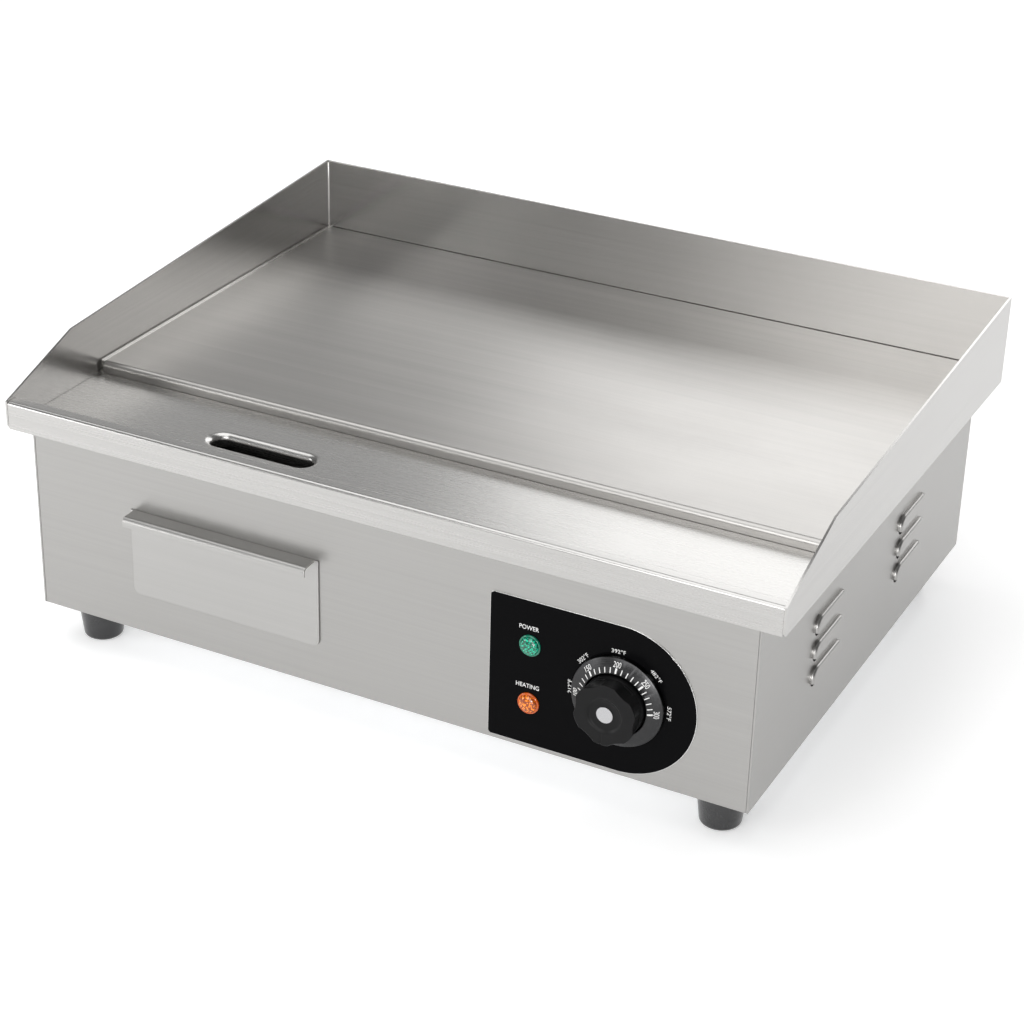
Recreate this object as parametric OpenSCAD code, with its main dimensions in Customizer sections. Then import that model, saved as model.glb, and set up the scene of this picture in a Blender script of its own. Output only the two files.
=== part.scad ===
// Countertop electric griddle: folded sheet casing, thick cooking plate, clamped tubular elements,
// a pull-out grease drawer and a thermostat dial. Millimetres, +Z up.
// The origin is on the counter, under the middle of the whole object, knob included.
// Every module works in deck coordinates, whose Y runs back from the front face of the lip.

/* [Deck] */
// Width over the splash guards
deck_w = 550; // [500:5:600]
// Depth from the lip to the back of the rear guard
deck_d = 408; // [395:1:430]
// Height of the gutter floor above the counter
deck_z = 161.5; // [158:0.5:166]
// Sheet thickness of the deck and the guards
deck_t = 1.5; // [1.2:0.1:1.6]
// Width of the raised front rim
rim_w = 11; // [9:0.5:14]
// Height of the front rim above the gutter floor
rim_rise = 17.5; // [14:0.5:20]
// Outside radius of the rim's folds
rim_r = 2.5; // [1.8:0.1:3]

/* [Splash guard] */
// Height of the guard's top at the back, above the counter
guard_top_z = 223.4; // [215:0.2:240]
// Height of the guard's bend, above the counter
guard_bend_z = 204.3; // [195:0.1:210]
// Distance of the guard's bend behind the lip
guard_bend_y = 72.8; // [60:0.1:90]

/* [Cooking plate] */
// Thickness of the plate
plate_t = 8; // [6:0.5:10]
// Distance of the plate's front edge behind the lip
plate_front_y = 101.5; // [96:0.5:110]
// Gap between the plate and each guard, filled by the weld
plate_gap = 2.5; // [2:0.5:4]
// Radius along the plate's front edge
plate_edge_r = 4; // [2:0.5:5]

/* [Drain slot] */
// Length of the slot's hole
slot_len = 76; // [60:1:84]
// Width of the slot's hole
slot_w = 15.5; // [12:0.5:18]
// X of the slot, the chute and the drawer
slot_x = -110.5; // [-120:0.5:-100]
// Distance of the slot's middle behind the lip
slot_y = 53.3; // [50:0.1:58]

/* [Casing] */
// Width of the casing
body_w = 518; // [514:1:524]
// Distance of the casing's front behind the lip
body_front_y = 6.5; // [5:0.5:10]
// Distance of the casing's back behind the lip
body_back_y = 400; // [395:1:402]
// Sheet thickness of the casing
case_t = 1.2; // [1:0.1:1.2]
// Height of the feet
foot_h = 30; // [25:1:35]
// Radius of a foot at its top
foot_r_top = 16.8; // [15:0.1:18]
// Radius of a foot at the counter
foot_r_low = 13.6; // [12:0.1:14.5]

/* [Louvres] */
// Length of one louvre
louvre_len = 50; // [40:1:56]
// Height of one louvre
louvre_h = 10; // [9:0.5:12]
// How far a louvre stands out
louvre_out = 2.8; // [2.4:0.1:4]
// Spacing of the louvres
louvre_pitch = 18.2; // [16:0.2:22]

/* [Drawer] */
// Width of the drawer's front
drawer_w = 143.5; // [138:0.5:150]
// Height of the drawer's front
drawer_h = 62.5; // [60:0.5:66]
// Length of the drawer's tray
drawer_len = 180; // [150:5:200]
// How far the rolled handle stands out from the casing
handle_out = 14; // [10:1:18]

/* [Controls] */
// X of the dial's axis
dial_x = 172; // [165:1:180]
// Height of the dial's axis above the counter
dial_z = 84; // [80:1:88]
// Radius of the control fascia's round end
fascia_r = 51; // [47:0.5:51.5]
// Outside radius of the dial ring
bezel_r = 30.5; // [28:0.1:32]
// Radius of the knob's skirt
knob_r = 20; // [19:0.1:20.4]
// How far the knob's face stands out from the casing
knob_out = 22.4; // [21:0.1:28]

/* [Hidden] */
$fn = 64;
tiny = 0.01;
over = 1;

// Deck and guards
half_w = deck_w / 2;
floor_half = half_w - deck_t;
lip_top = deck_z + rim_rise;
lip_low = deck_z - 2;
lip_corner_r = 3;
under_z = deck_z - deck_t;
opening_half = 240;
opening_y = [118, 390];
guard_in_y = deck_d - deck_t;

// Where the deck stands on the Y axis
body_knob_y = body_front_y - knob_out;
gland_out = 18;
lip_y = -(body_back_y + gland_out + body_knob_y) / 2;

// Cooking plate
plate_half = floor_half - plate_gap;
plate_back_y = guard_in_y - 1;
plate_top = deck_z + plate_t;
seam_drop = 1;

// Drain slot: the sheet is drawn down through a shoulder into a short collar
slot_r = slot_w / 2;
slot_run = slot_len - slot_w;
shoulder_r = 4.5;
collar_low = deck_z - 9;

// Clamped elements
tube_r = 4;
tube_z = deck_z - tube_r - 0.3;
bend_r = 30;
drop_r = 12;
element_x = 125;
run_front_y = 138;
front_bend_y = 172;
rear_bend_y = 345;
run_x = [-90, -30, 30, 90];
collar_top_z = 136;
collar_low_z = 128;
collar_r = 5.5;
pin_low_z = 117;
pin_r = 2;
terminal_y = run_front_y - drop_r;
bar_t = 3;
bar_w = 20;
bar_half = 232;
bar_top = tube_z - tube_r - 0.2;
bar_y = [190, 255, 320];
stud_x = [-125, 0, 125];
stud_r = 3;
stud_low = 143;
nut_h = 5;
nut_across = 10;

// Heat shield
shield_t = 0.8;
shield_half = 236;
shield_y = [136, 384];
shield_z = 121;
blanket_top = 142;
shield_wall = 20;
shield_flange = 7;

// Bulb and cut-out
bulb_r = 3;
bulb_x = 65;
bulb_y = [206, 243];
bulb_z = deck_z - bulb_r - 0.3;
saddle_y = 215;
saddle_w = 12;
saddle_t = 1;
capillary_r = 0.8;
cutout_y = 222;
cutout_r = 8;

// Casing
case_half = body_w / 2;
panel_gap = 0.2;
panel_half = case_half - case_t - panel_gap;
case_low = foot_h;
case_top = under_z;
base_top = case_low + case_t;
flange_z = base_top + panel_gap;
flange_w = 13;
front_in_y = body_front_y + case_t;
rear_in_y = body_back_y - case_t;
end_flange_half = panel_half - flange_w - 2;
foot_x = case_half - 27.5;
foot_y = [body_front_y + 27.5, body_back_y - 27.5];
foot_round = 3;
foot_well_r = 6;
foot_well_h = 16;
foot_screw_r = 2.5;
side_screw_x = panel_half - 6.5;
rear_screw_z = [50, 95, 140];
base_screw_y = [90, 203, 316];
screw_r = 1.9;
screw_head_r = 3.6;
screw_head_h = 2.2;
louvre_y = [123.5, 276.5];
louvre_low_z = 71.8;
louvre_corner = 8;
louvre_edge = 1.8;
vent_len = 60;
vent_w = 5;

// Drawer
drawer_x = slot_x - 0.25;
drawer_low = 58.5;
drawer_top = drawer_low + drawer_h;
front_t = 1.2;
front_back_y = body_front_y - 0.1;
front_corner = 5;
handle_r = 4;
handle_drop = 6.5;
handle_inset = 2.5;
tray_t = 1;
tray_half = 60;
tray_low = 64;
tray_top = 112;
tray_front_y = front_in_y - 1.3;
lip_half = 66;
runner_gap = 0.3;
runner_t = 1.2;
runner_half = 72;
runner_top = 119;
runner_end_y = 192;
bay_half = 67.5;
bay_z = [62, 115];

// Drain chute
chute_half = [46, 17];
chute_t = 1;
chute_low = 121;

// Control fascia, dial and lamps
fascia_t = 0.8;
fascia_x = 83.5;
fascia_corner = 3.5;
fascia_y = body_front_y - fascia_t;
bezel_in_r = 21.1;
bezel_edge_t = 3.6;
bezel_crown_t = 7.7;
bezel_wall = 1.6;
shaft_r = 3;
shaft_hole_r = shaft_r + 0.05;
hub_r = 5;
knob_back_y = 1.2;
knob_step_y = -5;
knob_face_y = body_knob_y;
knob_face_r = 20.8;
knob_bore_end_y = -12;
knob_wall = 3;
grip_count = 6;
grip_angle = 55;
grip_back_cut = 0.7;
scallop_r = 26;
scallop_depth = 1.6;
dish_r = 12;
dish_depth = 1.4;
cap_r = 5.4;
cap_proud = 0.5;
index_angle = -95;
thermo_w = 44;
thermo_y = [9.2, 42];
thermo_screw = 14;
lamp_x = 111.5;
power_z = 104;
heating_z = 63;
lamp_r = 5;
lens_r = 7.3;
lens_rim_t = 1.4;
lens_dome_r = 5.9;
lens_dome_h = 2.6;
lamp_end_y = 32;

// Supply and bonding
block = [54, 20, 20];
block_pos = [178, 352, base_top + 1.5];
pole_pitch = 16;
gland = [190, 78];
gland_thread_r = 8;
gland_bore_r = 4.3;
gland_neck = 10;
bond = [120, 62];
bond_r = 3;
earth = [226, 330];
wire_r = 1.4;
wire_sides = 8;
lamp_wire_r = 1;
wire_up = [0.13, 0.31, 0.94];

// ---------- shared shapes ----------

// Puts children, drawn in deck coordinates, in the object's own frame
module on_deck() {
  translate([0, lip_y, 0]) children();
}

// Extrudes a YZ profile along X, centred on X = 0
module across(width) {
  translate([-width / 2, 0, 0])
    rotate([90, 0, 90])
      linear_extrude(width) children();
}

// Extrudes an XZ profile along Y, from y0 back to y1
module along(y0, y1) {
  translate([0, y1, 0])
    rotate([90, 0, 0])
      linear_extrude(y1 - y0) children();
}

// Cylinder along Y, from y0 back to y1
module rod_y(r, y0, y1, x = 0, z = 0) {
  translate([x, y1, z])
    rotate([90, 0, 0])
      cylinder(r = r, h = y1 - y0);
}

// Box from its low corner to its high corner
module block_from(a, b) {
  translate(a) cube(b - a);
}

// Outline of an obround, length along the first axis
module obround(length, r) {
  run = length - 2 * r;
  square([run, 2 * r], center = true);
  for (s = [-1, 1])
    translate([s * run / 2, 0]) circle(r);
}

// Closed ring of one radial profile round an obround centreline of the given straight run
module obround_ring(run) {
  for (s = [0, 180])
    rotate(s) {
      translate([run / 2, 0, 0])
        rotate(-90)
          rotate_extrude(angle = 180) children();
      translate([run / 2, 0, 0])
        rotate([90, 0, -90])
          linear_extrude(run) children();
    }
}

// Rounds the lip's two low corners, seen from the front
module lip_corner_cuts() {
  for (side = [-1, 1])
    along(-over, deck_t)
      difference() {
        translate([side * (half_w - lip_corner_r / 2 + over / 2), lip_low + (lip_corner_r - over) / 2])
          square(lip_corner_r + over, center = true);
        translate([side * (half_w - lip_corner_r), lip_low + lip_corner_r])
          circle(lip_corner_r);
      }
}

// Hexagonal nut with a bore, across flats, standing up from z = 0
module hex_nut(across_flats, height, bore_r) {
  difference() {
    cylinder(d = across_flats / cos(30), h = height, $fn = 6);
    translate([0, 0, -over]) cylinder(r = bore_r, h = height + 2 * over);
  }
}

// Pan-head screw: head on z = 0 upwards, shank below
module pan_screw(shank_r, length, head_r, head_h) {
  difference() {
    union() {
      translate([0, 0, -length]) cylinder(r = shank_r, h = length);
      cylinder(r = head_r, h = head_h * 0.6);
      translate([0, 0, head_h * 0.6])
        cylinder(r1 = head_r, r2 = head_r * 0.7, h = head_h * 0.4);
    }
    for (a = [0, 90])
      rotate(a)
        translate([0, 0, head_h])
          cube([head_r * 1.1, head_r * 0.26, head_h], center = true);
  }
}

// Direction of a wire at one of its points, halfway between its two stretches
function unit(v) = v / norm(v);
function heading(p, i) =
  unit((i > 0 ? unit(p[i] - p[i - 1]) : [0, 0, 0])
    + (i < len(p) - 1 ? unit(p[i + 1] - p[i]) : [0, 0, 0]));

// Ring of points round one point of a wire, square to its heading
function wire_ring(p, i, r) =
  let (d = heading(p, i), u = unit(cross(d, wire_up)), v = cross(d, u))
  [for (k = [0 : wire_sides - 1])
    let (a = k * 360 / wire_sides)
    p[i] + r * (cos(a) * u + sin(a) * v)];

// Wire through a list of points
module wire(points, r) {
  n = wire_sides;
  last = len(points) - 1;
  rings = [for (i = [0 : last]) each wire_ring(points, i, r)];
  sides = [for (i = [0 : last - 1], k = [0 : n - 1])
    let (a = i * n + k, b = i * n + (k + 1) % n)
    each [[a, b, b + n], [a, b + n, a + n]]];
  ends = [[for (k = [n - 1 : -1 : 0]) k], [for (k = [0 : n - 1]) last * n + k]];
  polyhedron(rings, concat(sides, ends));
}

// ---------- deck and guards ----------

// Folded rim: apron, top and inner wall, with rounded folds
module rim_profile() {
  h = lip_top - lip_low;
  difference() {
    union() {
      translate([0, lip_low]) square([rim_w, h - rim_r]);
      translate([rim_r, lip_top - rim_r]) square([rim_w - 2 * rim_r, rim_r]);
      for (y = [rim_r, rim_w - rim_r])
        translate([y, lip_top - rim_r]) circle(rim_r);
    }
    translate([deck_t, lip_low - over])
      square([rim_w - 2 * deck_t, h - deck_t + over]);
    translate([rim_w - deck_t - tiny, lip_low - over])
      square([deck_t + over, under_z - lip_low + over]);
  }
}

// Radial section of the slot's drawn shoulder and collar
module collar_profile() {
  translate([slot_r, collar_low])
    square([deck_t, deck_z - shoulder_r - collar_low]);
  intersection() {
    translate([slot_r + shoulder_r, deck_z - shoulder_r])
      difference() {
        circle(shoulder_r);
        circle(shoulder_r - deck_t);
      }
    translate([slot_r, deck_z - shoulder_r]) square(shoulder_r);
  }
}

module deck_tray() {
  color("lightgray")
    on_deck() {
      difference() {
        union() {
          across(2 * floor_half) rim_profile();
          block_from([-floor_half, rim_w - deck_t, under_z], [floor_half, guard_in_y, deck_z]);
        }
        block_from([-opening_half, opening_y[0], under_z - over],
                   [opening_half, opening_y[1], deck_z + over]);
        translate([slot_x, slot_y, under_z - over])
          linear_extrude(deck_t + 2 * over)
            obround(slot_len + 2 * shoulder_r, slot_r + shoulder_r);
        lip_corner_cuts();
      }
      translate([slot_x, slot_y, 0]) obround_ring(slot_run) collar_profile();
    }
}

module side_guard(side) {
  color("gainsboro")
    on_deck()
      difference() {
        translate([side * (half_w - deck_t / 2), 0, 0])
          across(deck_t)
            polygon([
              [0, lip_low], [0, lip_top],
              [guard_bend_y, guard_bend_z], [deck_d, guard_top_z], [deck_d, lip_low]
            ]);
        across(deck_w + over)
            difference() {
              translate([-over, lip_low - over])
                square([lip_corner_r + over, lip_corner_r + over]);
              translate([lip_corner_r, lip_low + lip_corner_r]) circle(lip_corner_r);
            }
        lip_corner_cuts();
      }
}

module splash_guard_left() side_guard(-1);
module splash_guard_right() side_guard(1);

module splash_guard_rear() {
  color("gainsboro")
    on_deck()
      block_from([-floor_half, guard_in_y, lip_low], [floor_half, deck_d, guard_top_z]);
}

// ---------- cooking plate ----------

module griddle_plate() {
  depth = plate_back_y - plate_front_y;
  color("dimgray")
    on_deck()
      across(2 * plate_half)
        translate([plate_front_y, deck_z])
          difference() {
            square([depth, plate_t]);
            difference() {
              translate([-over, plate_t - plate_edge_r])
                square([plate_edge_r + over, plate_edge_r + over]);
              translate([plate_edge_r, plate_t - plate_edge_r]) circle(plate_edge_r);
            }
          }
}

module plate_weld_seam() {
  seam_front_y = plate_front_y + plate_edge_r;
  color("silver")
    on_deck()
      difference() {
        block_from([-floor_half, seam_front_y, deck_z],
                   [floor_half, guard_in_y, plate_top - seam_drop]);
        block_from([-plate_half, seam_front_y - over, deck_z - over],
                   [plate_half, plate_back_y, plate_top + over]);
      }
}

module at_studs() {
  for (x = stud_x, y = bar_y)
    translate([x, y, 0]) children();
}

module plate_studs() {
  color("silver")
    on_deck()
      at_studs()
        translate([0, 0, stud_low]) cylinder(r = stud_r, h = deck_z - stud_low);
}

module stud_nuts() {
  color("silver")
    on_deck()
      at_studs()
        translate([0, 0, bar_top - bar_t - nut_h]) hex_nut(nut_across, nut_h, stud_r + 0.1);
}

// ---------- elements ----------

// Quarter or half turn of tube, lying flat, from angle a through sweep degrees
module tube_turn(r, a, sweep) {
  rotate(a)
    rotate_extrude(angle = sweep)
      translate([r, 0]) circle(tube_r);
}

// One sheathed element: four straight runs, three returns and two legs turned down
module heating_element(cx) {
  color("dimgray")
    on_deck()
      translate([cx, 0, tube_z]) {
        for (i = [0, 3])
          rod_y(tube_r, run_front_y, rear_bend_y, run_x[i]);
        for (i = [1, 2])
          rod_y(tube_r, front_bend_y, rear_bend_y, run_x[i]);
        for (x = [-60, 60])
          translate([x, rear_bend_y, 0]) tube_turn(bend_r, 0, 180);
        translate([0, front_bend_y, 0]) tube_turn(bend_r, 180, 180);
        for (i = [0, 3])
          translate([run_x[i], run_front_y, -drop_r]) {
            rotate([90, 0, -90]) tube_turn(drop_r, 0, 90);
            translate([0, -drop_r, collar_top_z - tube_z + drop_r])
              cylinder(r = tube_r, h = tube_z - drop_r - collar_top_z);
          }
      }
}

module heating_element_left() heating_element(-element_x);
module heating_element_right() heating_element(element_x);

module element_terminals() {
  color("ivory")
    on_deck()
      for (cx = [-element_x, element_x], i = [0, 3])
        translate([cx + run_x[i], terminal_y, 0]) {
          translate([0, 0, collar_low_z]) cylinder(r = collar_r, h = collar_top_z - collar_low_z);
          translate([0, 0, pin_low_z]) cylinder(r = pin_r, h = collar_low_z - pin_low_z);
          translate([0, 0, pin_low_z + 3]) cylinder(r = 2 * pin_r, h = 3);
        }
}

module element_clamp_bars() {
  color("silver")
    on_deck()
      difference() {
        for (y = bar_y)
          block_from([-bar_half, y - bar_w / 2, bar_top - bar_t],
                     [bar_half, y + bar_w / 2, bar_top]);
        at_studs()
          translate([0, 0, bar_top - bar_t - over])
            cylinder(r = stud_r + 0.3, h = bar_t + 2 * over);
      }
}

// ---------- sensing ----------

module sensing_bulb() {
  color("peru")
    on_deck() {
      rod_y(bulb_r, bulb_y[0], bulb_y[1], bulb_x, bulb_z);
      translate([bulb_x, bulb_y[0], bulb_z]) sphere(bulb_r);
      translate([bulb_x, bulb_y[1], bulb_z]) sphere(bulb_r);
    }
}

module bulb_saddle() {
  in_r = bulb_r + 0.2;
  out_r = in_r + saddle_t;
  foot = 7;
  color("silver")
    on_deck()
      along(saddle_y, saddle_y + saddle_w)
        translate([bulb_x, bulb_z])
          difference() {
            union() {
              translate([-out_r, 0]) square([2 * out_r, deck_z - bulb_z]);
              circle(out_r);
              translate([-out_r - foot, deck_z - bulb_z - saddle_t])
                square([2 * (out_r + foot), saddle_t]);
            }
            circle(in_r);
            translate([-in_r, 0]) square([2 * in_r, deck_z - bulb_z + over]);
          }
}

module capillary_tube() {
  rise_y = bar_y[0] + bar_w / 2 + 1.6;
  color("peru")
    on_deck()
      wire([
        [dial_x, thermo_y[1] + 0.2, 98], [dial_x, 60, 98], [dial_x + 12, 78, 112],
        [dial_x + 12, 112, 150], [110, 150, 147], [bulb_x, 180, 147],
        [bulb_x, rise_y, 147], [bulb_x, rise_y, bulb_z - 4],
        [bulb_x, bulb_y[0] - bulb_r - 0.8, bulb_z]
      ], capillary_r);
}

module high_limit_cutout() {
  color("saddlebrown")
    on_deck()
      translate([0, cutout_y, 0]) {
        block_from([-12, -6, deck_z - 1], [12, 6, deck_z]);
        translate([0, 0, deck_z - 10]) cylinder(r = cutout_r, h = 9);
        for (s = [-1, 1])
          block_from([s * 4 - 0.4, -3, deck_z - 17], [s * 4 + 0.4, 3, deck_z - 10]);
      }
}

// ---------- heat shield ----------

module insulation_blanket() {
  gap = 1;
  color("whitesmoke")
    on_deck()
      block_from([-shield_half + gap, shield_y[0] + shield_t + gap, shield_z],
                 [shield_half - gap, shield_y[1] - shield_t - gap, blanket_top]);
}

module insulation_tray() {
  color("silver")
    on_deck() {
      difference() {
        block_from([-shield_half - shield_t, shield_y[0], shield_z - shield_t],
                   [shield_half + shield_t, shield_y[1], under_z]);
        block_from([-shield_half, shield_y[0] + shield_t, shield_z],
                   [shield_half, shield_y[1] - shield_t, under_z + over]);
        block_from([-shield_half, shield_y[0] - over, shield_z + shield_wall],
                   [shield_half, shield_y[1] + over, under_z + over]);
      }
      for (s = [-1, 1])
        translate([s * (shield_half + shield_t + shield_flange / 2), 0, 0])
          block_from([-shield_flange / 2 - tiny, shield_y[0], under_z - shield_t],
                     [shield_flange / 2, shield_y[1], under_z]);
    }
}

// ---------- casing ----------

module front_panel() {
  color("lightgray")
    on_deck()
      difference() {
        union() {
          block_from([-panel_half, body_front_y, case_low], [panel_half, front_in_y, case_top]);
          for (z = [flange_z, case_top - case_t])
            block_from([-end_flange_half, front_in_y - tiny, z],
                       [end_flange_half, front_in_y + flange_w, z + case_t]);
        }
        block_from([drawer_x - bay_half, body_front_y - over, bay_z[0]],
                   [drawer_x + bay_half, front_in_y + over, bay_z[1]]);
        rod_y(hub_r + 0.3, body_front_y - over, front_in_y + over, dial_x, dial_z);
        for (s = [-1, 1])
          rod_y(2.2, body_front_y - over, front_in_y + over, dial_x + s * thermo_screw, dial_z);
        for (z = [power_z, heating_z])
          rod_y(lamp_r + 0.2, body_front_y - over, front_in_y + over, lamp_x, z);
      }
}

// Outline of one louvre in the YZ plane, mouth along z = 0, shrunk by the given margin
module louvre_outline(margin) {
  half = louvre_len / 2 - margin;
  top = louvre_h - margin;
  r = louvre_corner - margin;
  translate([-half, 0]) square([2 * half, top - r]);
  translate([-half + r, 0]) square([2 * (half - r), top]);
  for (s = [-1, 1])
    translate([s * (half - r), top - r]) circle(r);
}

// One pressed louvre standing out along +X from x = 0, with rolled edges
module louvre_hood() {
  e = louvre_edge;
  half = louvre_len / 2;
  r = louvre_corner;
  flat_x = louvre_out - e;
  rotate([90, 0, 90]) {
    linear_extrude(flat_x) louvre_outline(0);
    linear_extrude(louvre_out) louvre_outline(e);
  }
  for (s = [-1, 1]) {
    translate([flat_x, s * (half - e), 0]) cylinder(r = e, h = louvre_h - r);
    translate([flat_x, s * (half - r), louvre_h - r])
      rotate([90, 0, 90])
        rotate_extrude() intersection() {
          translate([r - e, 0]) circle(e);
          square([r, e]);
        }
  }
  rod_y(e, -half + r, half - r, flat_x, louvre_h - e);
}

// Air space under one louvre, through the panel and out of the mouth
module louvre_space() {
  translate([-case_t - over, 0, 0])
    rotate([90, 0, 90])
      linear_extrude(louvre_out + over)
        translate([0, -over]) louvre_outline(louvre_edge);
}

module at_louvres(side) {
  for (y = louvre_y, i = [0 : 2])
    translate([side * case_half, y, louvre_low_z + i * louvre_pitch])
      mirror([side < 0 ? 1 : 0, 0, 0]) children();
}

// Keeps only what lies above the mouth and outside the panel
module hood_trim() {
  block_from([-tiny, -louvre_len, 0], [2 * louvre_out, louvre_len, 2 * louvre_h]);
}

module side_panel(side) {
  x_in = panel_half + panel_gap;
  color("silver")
    on_deck()
      difference() {
        union() {
          mirror([side < 0 ? 1 : 0, 0, 0]) {
            block_from([x_in, body_front_y, case_low], [case_half, body_back_y, case_top]);
            for (z = [flange_z, case_top - case_t])
              block_from([x_in - flange_w, front_in_y + panel_gap, z],
                         [x_in + tiny, rear_in_y - panel_gap, z + case_t]);
            for (y = [front_in_y + panel_gap, rear_in_y - panel_gap - case_t])
              block_from([x_in - flange_w, y, flange_z], [x_in + tiny, y + case_t, case_top]);
          }
          at_louvres(side)
            intersection() {
              louvre_hood();
              hood_trim();
            }
        }
        at_louvres(side) louvre_space();
        for (z = rear_screw_z)
          rod_y(screw_r + 0.1, rear_in_y - 5, rear_in_y, side * side_screw_x, z);
        for (y = base_screw_y)
          translate([side * side_screw_x, y, flange_z - over]) cylinder(r = screw_r + 0.1, h = 4);
      }
}

module side_panel_left() side_panel(-1);
module side_panel_right() side_panel(1);

module rear_panel() {
  color("lightgray")
    on_deck()
      difference() {
        union() {
          block_from([-panel_half, rear_in_y, case_low], [panel_half, body_back_y, case_top]);
          for (z = [flange_z, case_top - case_t])
            block_from([-end_flange_half, rear_in_y - flange_w, z],
                       [end_flange_half, rear_in_y + tiny, z + case_t]);
        }
        for (x = [-165, -75, 15], z = [70, 84, 98, 112])
          translate([x, 0, z])
            along(rear_in_y - over, body_back_y + over) obround(vent_len, vent_w / 2);
        rod_y(gland_thread_r + 0.2, rear_in_y - over, body_back_y + over, gland[0], gland[1]);
        rod_y(bond_r + 0.2, rear_in_y - over, body_back_y + over, bond[0], bond[1]);
        for (s = [-1, 1], z = rear_screw_z)
          rod_y(screw_r + 0.1, rear_in_y - over, body_back_y + over, s * side_screw_x, z);
      }
}

module at_feet() {
  for (s = [-1, 1], y = foot_y)
    translate([s * foot_x, y, 0]) children();
}

module base_plate() {
  margin = 0.3;
  color("silver")
    on_deck()
      difference() {
        block_from([-panel_half + margin, front_in_y + margin, case_low],
                   [panel_half - margin, rear_in_y - margin, base_top]);
        for (x = [-140, 0, 140], y = [150, 170, 190, 210, 230, 250])
          translate([x, y, case_low - over])
            linear_extrude(case_t + 2 * over) obround(vent_len, vent_w / 2);
        at_feet()
          translate([0, 0, case_low - over])
            cylinder(r = foot_screw_r + 0.2, h = case_t + 2 * over);
        for (s = [-1, 1], y = base_screw_y)
          translate([s * side_screw_x, y, case_low - over])
            cylinder(r = screw_r + 0.1, h = case_t + 2 * over);
      }
}

module rear_screws() {
  color("silver")
    on_deck()
      for (s = [-1, 1], z = rear_screw_z)
        translate([s * side_screw_x, body_back_y, z])
          rotate([-90, 0, 0]) pan_screw(screw_r, 8, screw_head_r, screw_head_h);
}

module base_screws() {
  color("silver")
    on_deck()
      for (s = [-1, 1], y = base_screw_y)
        translate([s * side_screw_x, y, case_low])
          rotate([180, 0, 0]) pan_screw(screw_r, 8, screw_head_r, screw_head_h);
}

// ---------- feet ----------

module foot(side, y) {
  color("#141414")
    on_deck()
      translate([side * foot_x, y, 0])
        difference() {
          rotate_extrude()
            difference() {
              union() {
                translate([0, foot_round])
                  polygon([
                    [0, 0], [foot_r_low, 0],
                    [foot_r_top, foot_h - foot_round], [0, foot_h - foot_round]
                  ]);
                square([foot_r_low - foot_round, foot_round]);
                translate([foot_r_low - foot_round, foot_round]) circle(foot_round);
              }
              translate([-foot_h, -over]) square([foot_h, 2 * foot_h]);
            }
          translate([0, 0, -over]) cylinder(r = foot_well_r, h = foot_well_h + over);
          translate([0, 0, -over]) cylinder(r = foot_screw_r + 0.1, h = foot_h + 2 * over);
        }
}

module foot_front_left() foot(-1, foot_y[0]);
module foot_front_right() foot(1, foot_y[0]);
module foot_rear_left() foot(-1, foot_y[1]);
module foot_rear_right() foot(1, foot_y[1]);

module foot_screws() {
  color("silver")
    on_deck()
      at_feet()
        translate([0, 0, foot_well_h])
          rotate([180, 0, 0]) pan_screw(foot_screw_r, 24, 4.6, 3.2);
}

module foot_nuts() {
  color("silver")
    on_deck()
      at_feet()
        translate([0, 0, base_top]) hex_nut(8, 4, foot_screw_r + 0.05);
}

// ---------- controls ----------

// D-shaped outline of the fascia, round end on the right, about the dial's axis
module fascia_outline() {
  left = fascia_x - dial_x;
  circle(fascia_r);
  translate([left + fascia_corner, -fascia_r])
    square([-left - fascia_corner, 2 * fascia_r]);
  translate([left, -fascia_r + fascia_corner])
    square([fascia_corner + tiny, 2 * (fascia_r - fascia_corner)]);
  for (s = [-1, 1])
    translate([left + fascia_corner, s * (fascia_r - fascia_corner)]) circle(fascia_corner);
}

module control_fascia() {
  color("#101010")
    on_deck()
      difference() {
        translate([dial_x, 0, dial_z]) along(fascia_y, body_front_y) fascia_outline();
        rod_y(hub_r + 0.3, fascia_y - over, body_front_y + over, dial_x, dial_z);
        for (s = [-1, 1])
          rod_y(2.2, fascia_y - over, body_front_y + over, dial_x + s * thermo_screw, dial_z);
        for (z = [power_z, heating_z])
          rod_y(lamp_r + 0.2, fascia_y - over, body_front_y + over, lamp_x, z);
      }
}

// Turns a profile of radius and forward height about the dial's axis, back on the given Y
module on_dial(y) {
  translate([dial_x, y, dial_z])
    rotate([90, 0, 0]) children();
}

module dial_bezel() {
  color("#3a3a3c")
    on_deck()
      on_dial(fascia_y)
        rotate_extrude()
          polygon([
            [bezel_r - bezel_wall, 0], [bezel_r, 0], [bezel_r, bezel_edge_t],
            [bezel_in_r + 0.8, bezel_crown_t], [bezel_in_r, bezel_crown_t],
            [bezel_in_r, bezel_crown_t - bezel_wall],
            [bezel_r - bezel_wall, bezel_edge_t - bezel_wall]
          ]);
}

module thermostat_body() {
  wall = 1.2;
  ear = 19;
  color("silver")
    on_deck()
      difference() {
        union() {
          translate([dial_x - thermo_w / 2, thermo_y[0], dial_z - thermo_w / 2])
            cube([thermo_w, thermo_y[1] - thermo_y[0], thermo_w]);
          block_from([dial_x - ear, front_in_y, dial_z - 8],
                     [dial_x + ear, thermo_y[0] + wall, dial_z + 8]);
          rod_y(hub_r, 1.5, thermo_y[0] + wall, dial_x, dial_z);
        }
        rod_y(shaft_hole_r, 0, 24 + over, dial_x, dial_z);
        for (s = [-1, 1])
          rod_y(1.95, 0, 16, dial_x + s * thermo_screw, dial_z);
      }
}

module thermostat_screws() {
  color("silver")
    on_deck()
      for (s = [-1, 1])
        translate([dial_x + s * thermo_screw, fascia_y, dial_z])
          rotate([90, 0, 0]) pan_screw(screw_r, 9, 3.4, 2);
}

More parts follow.
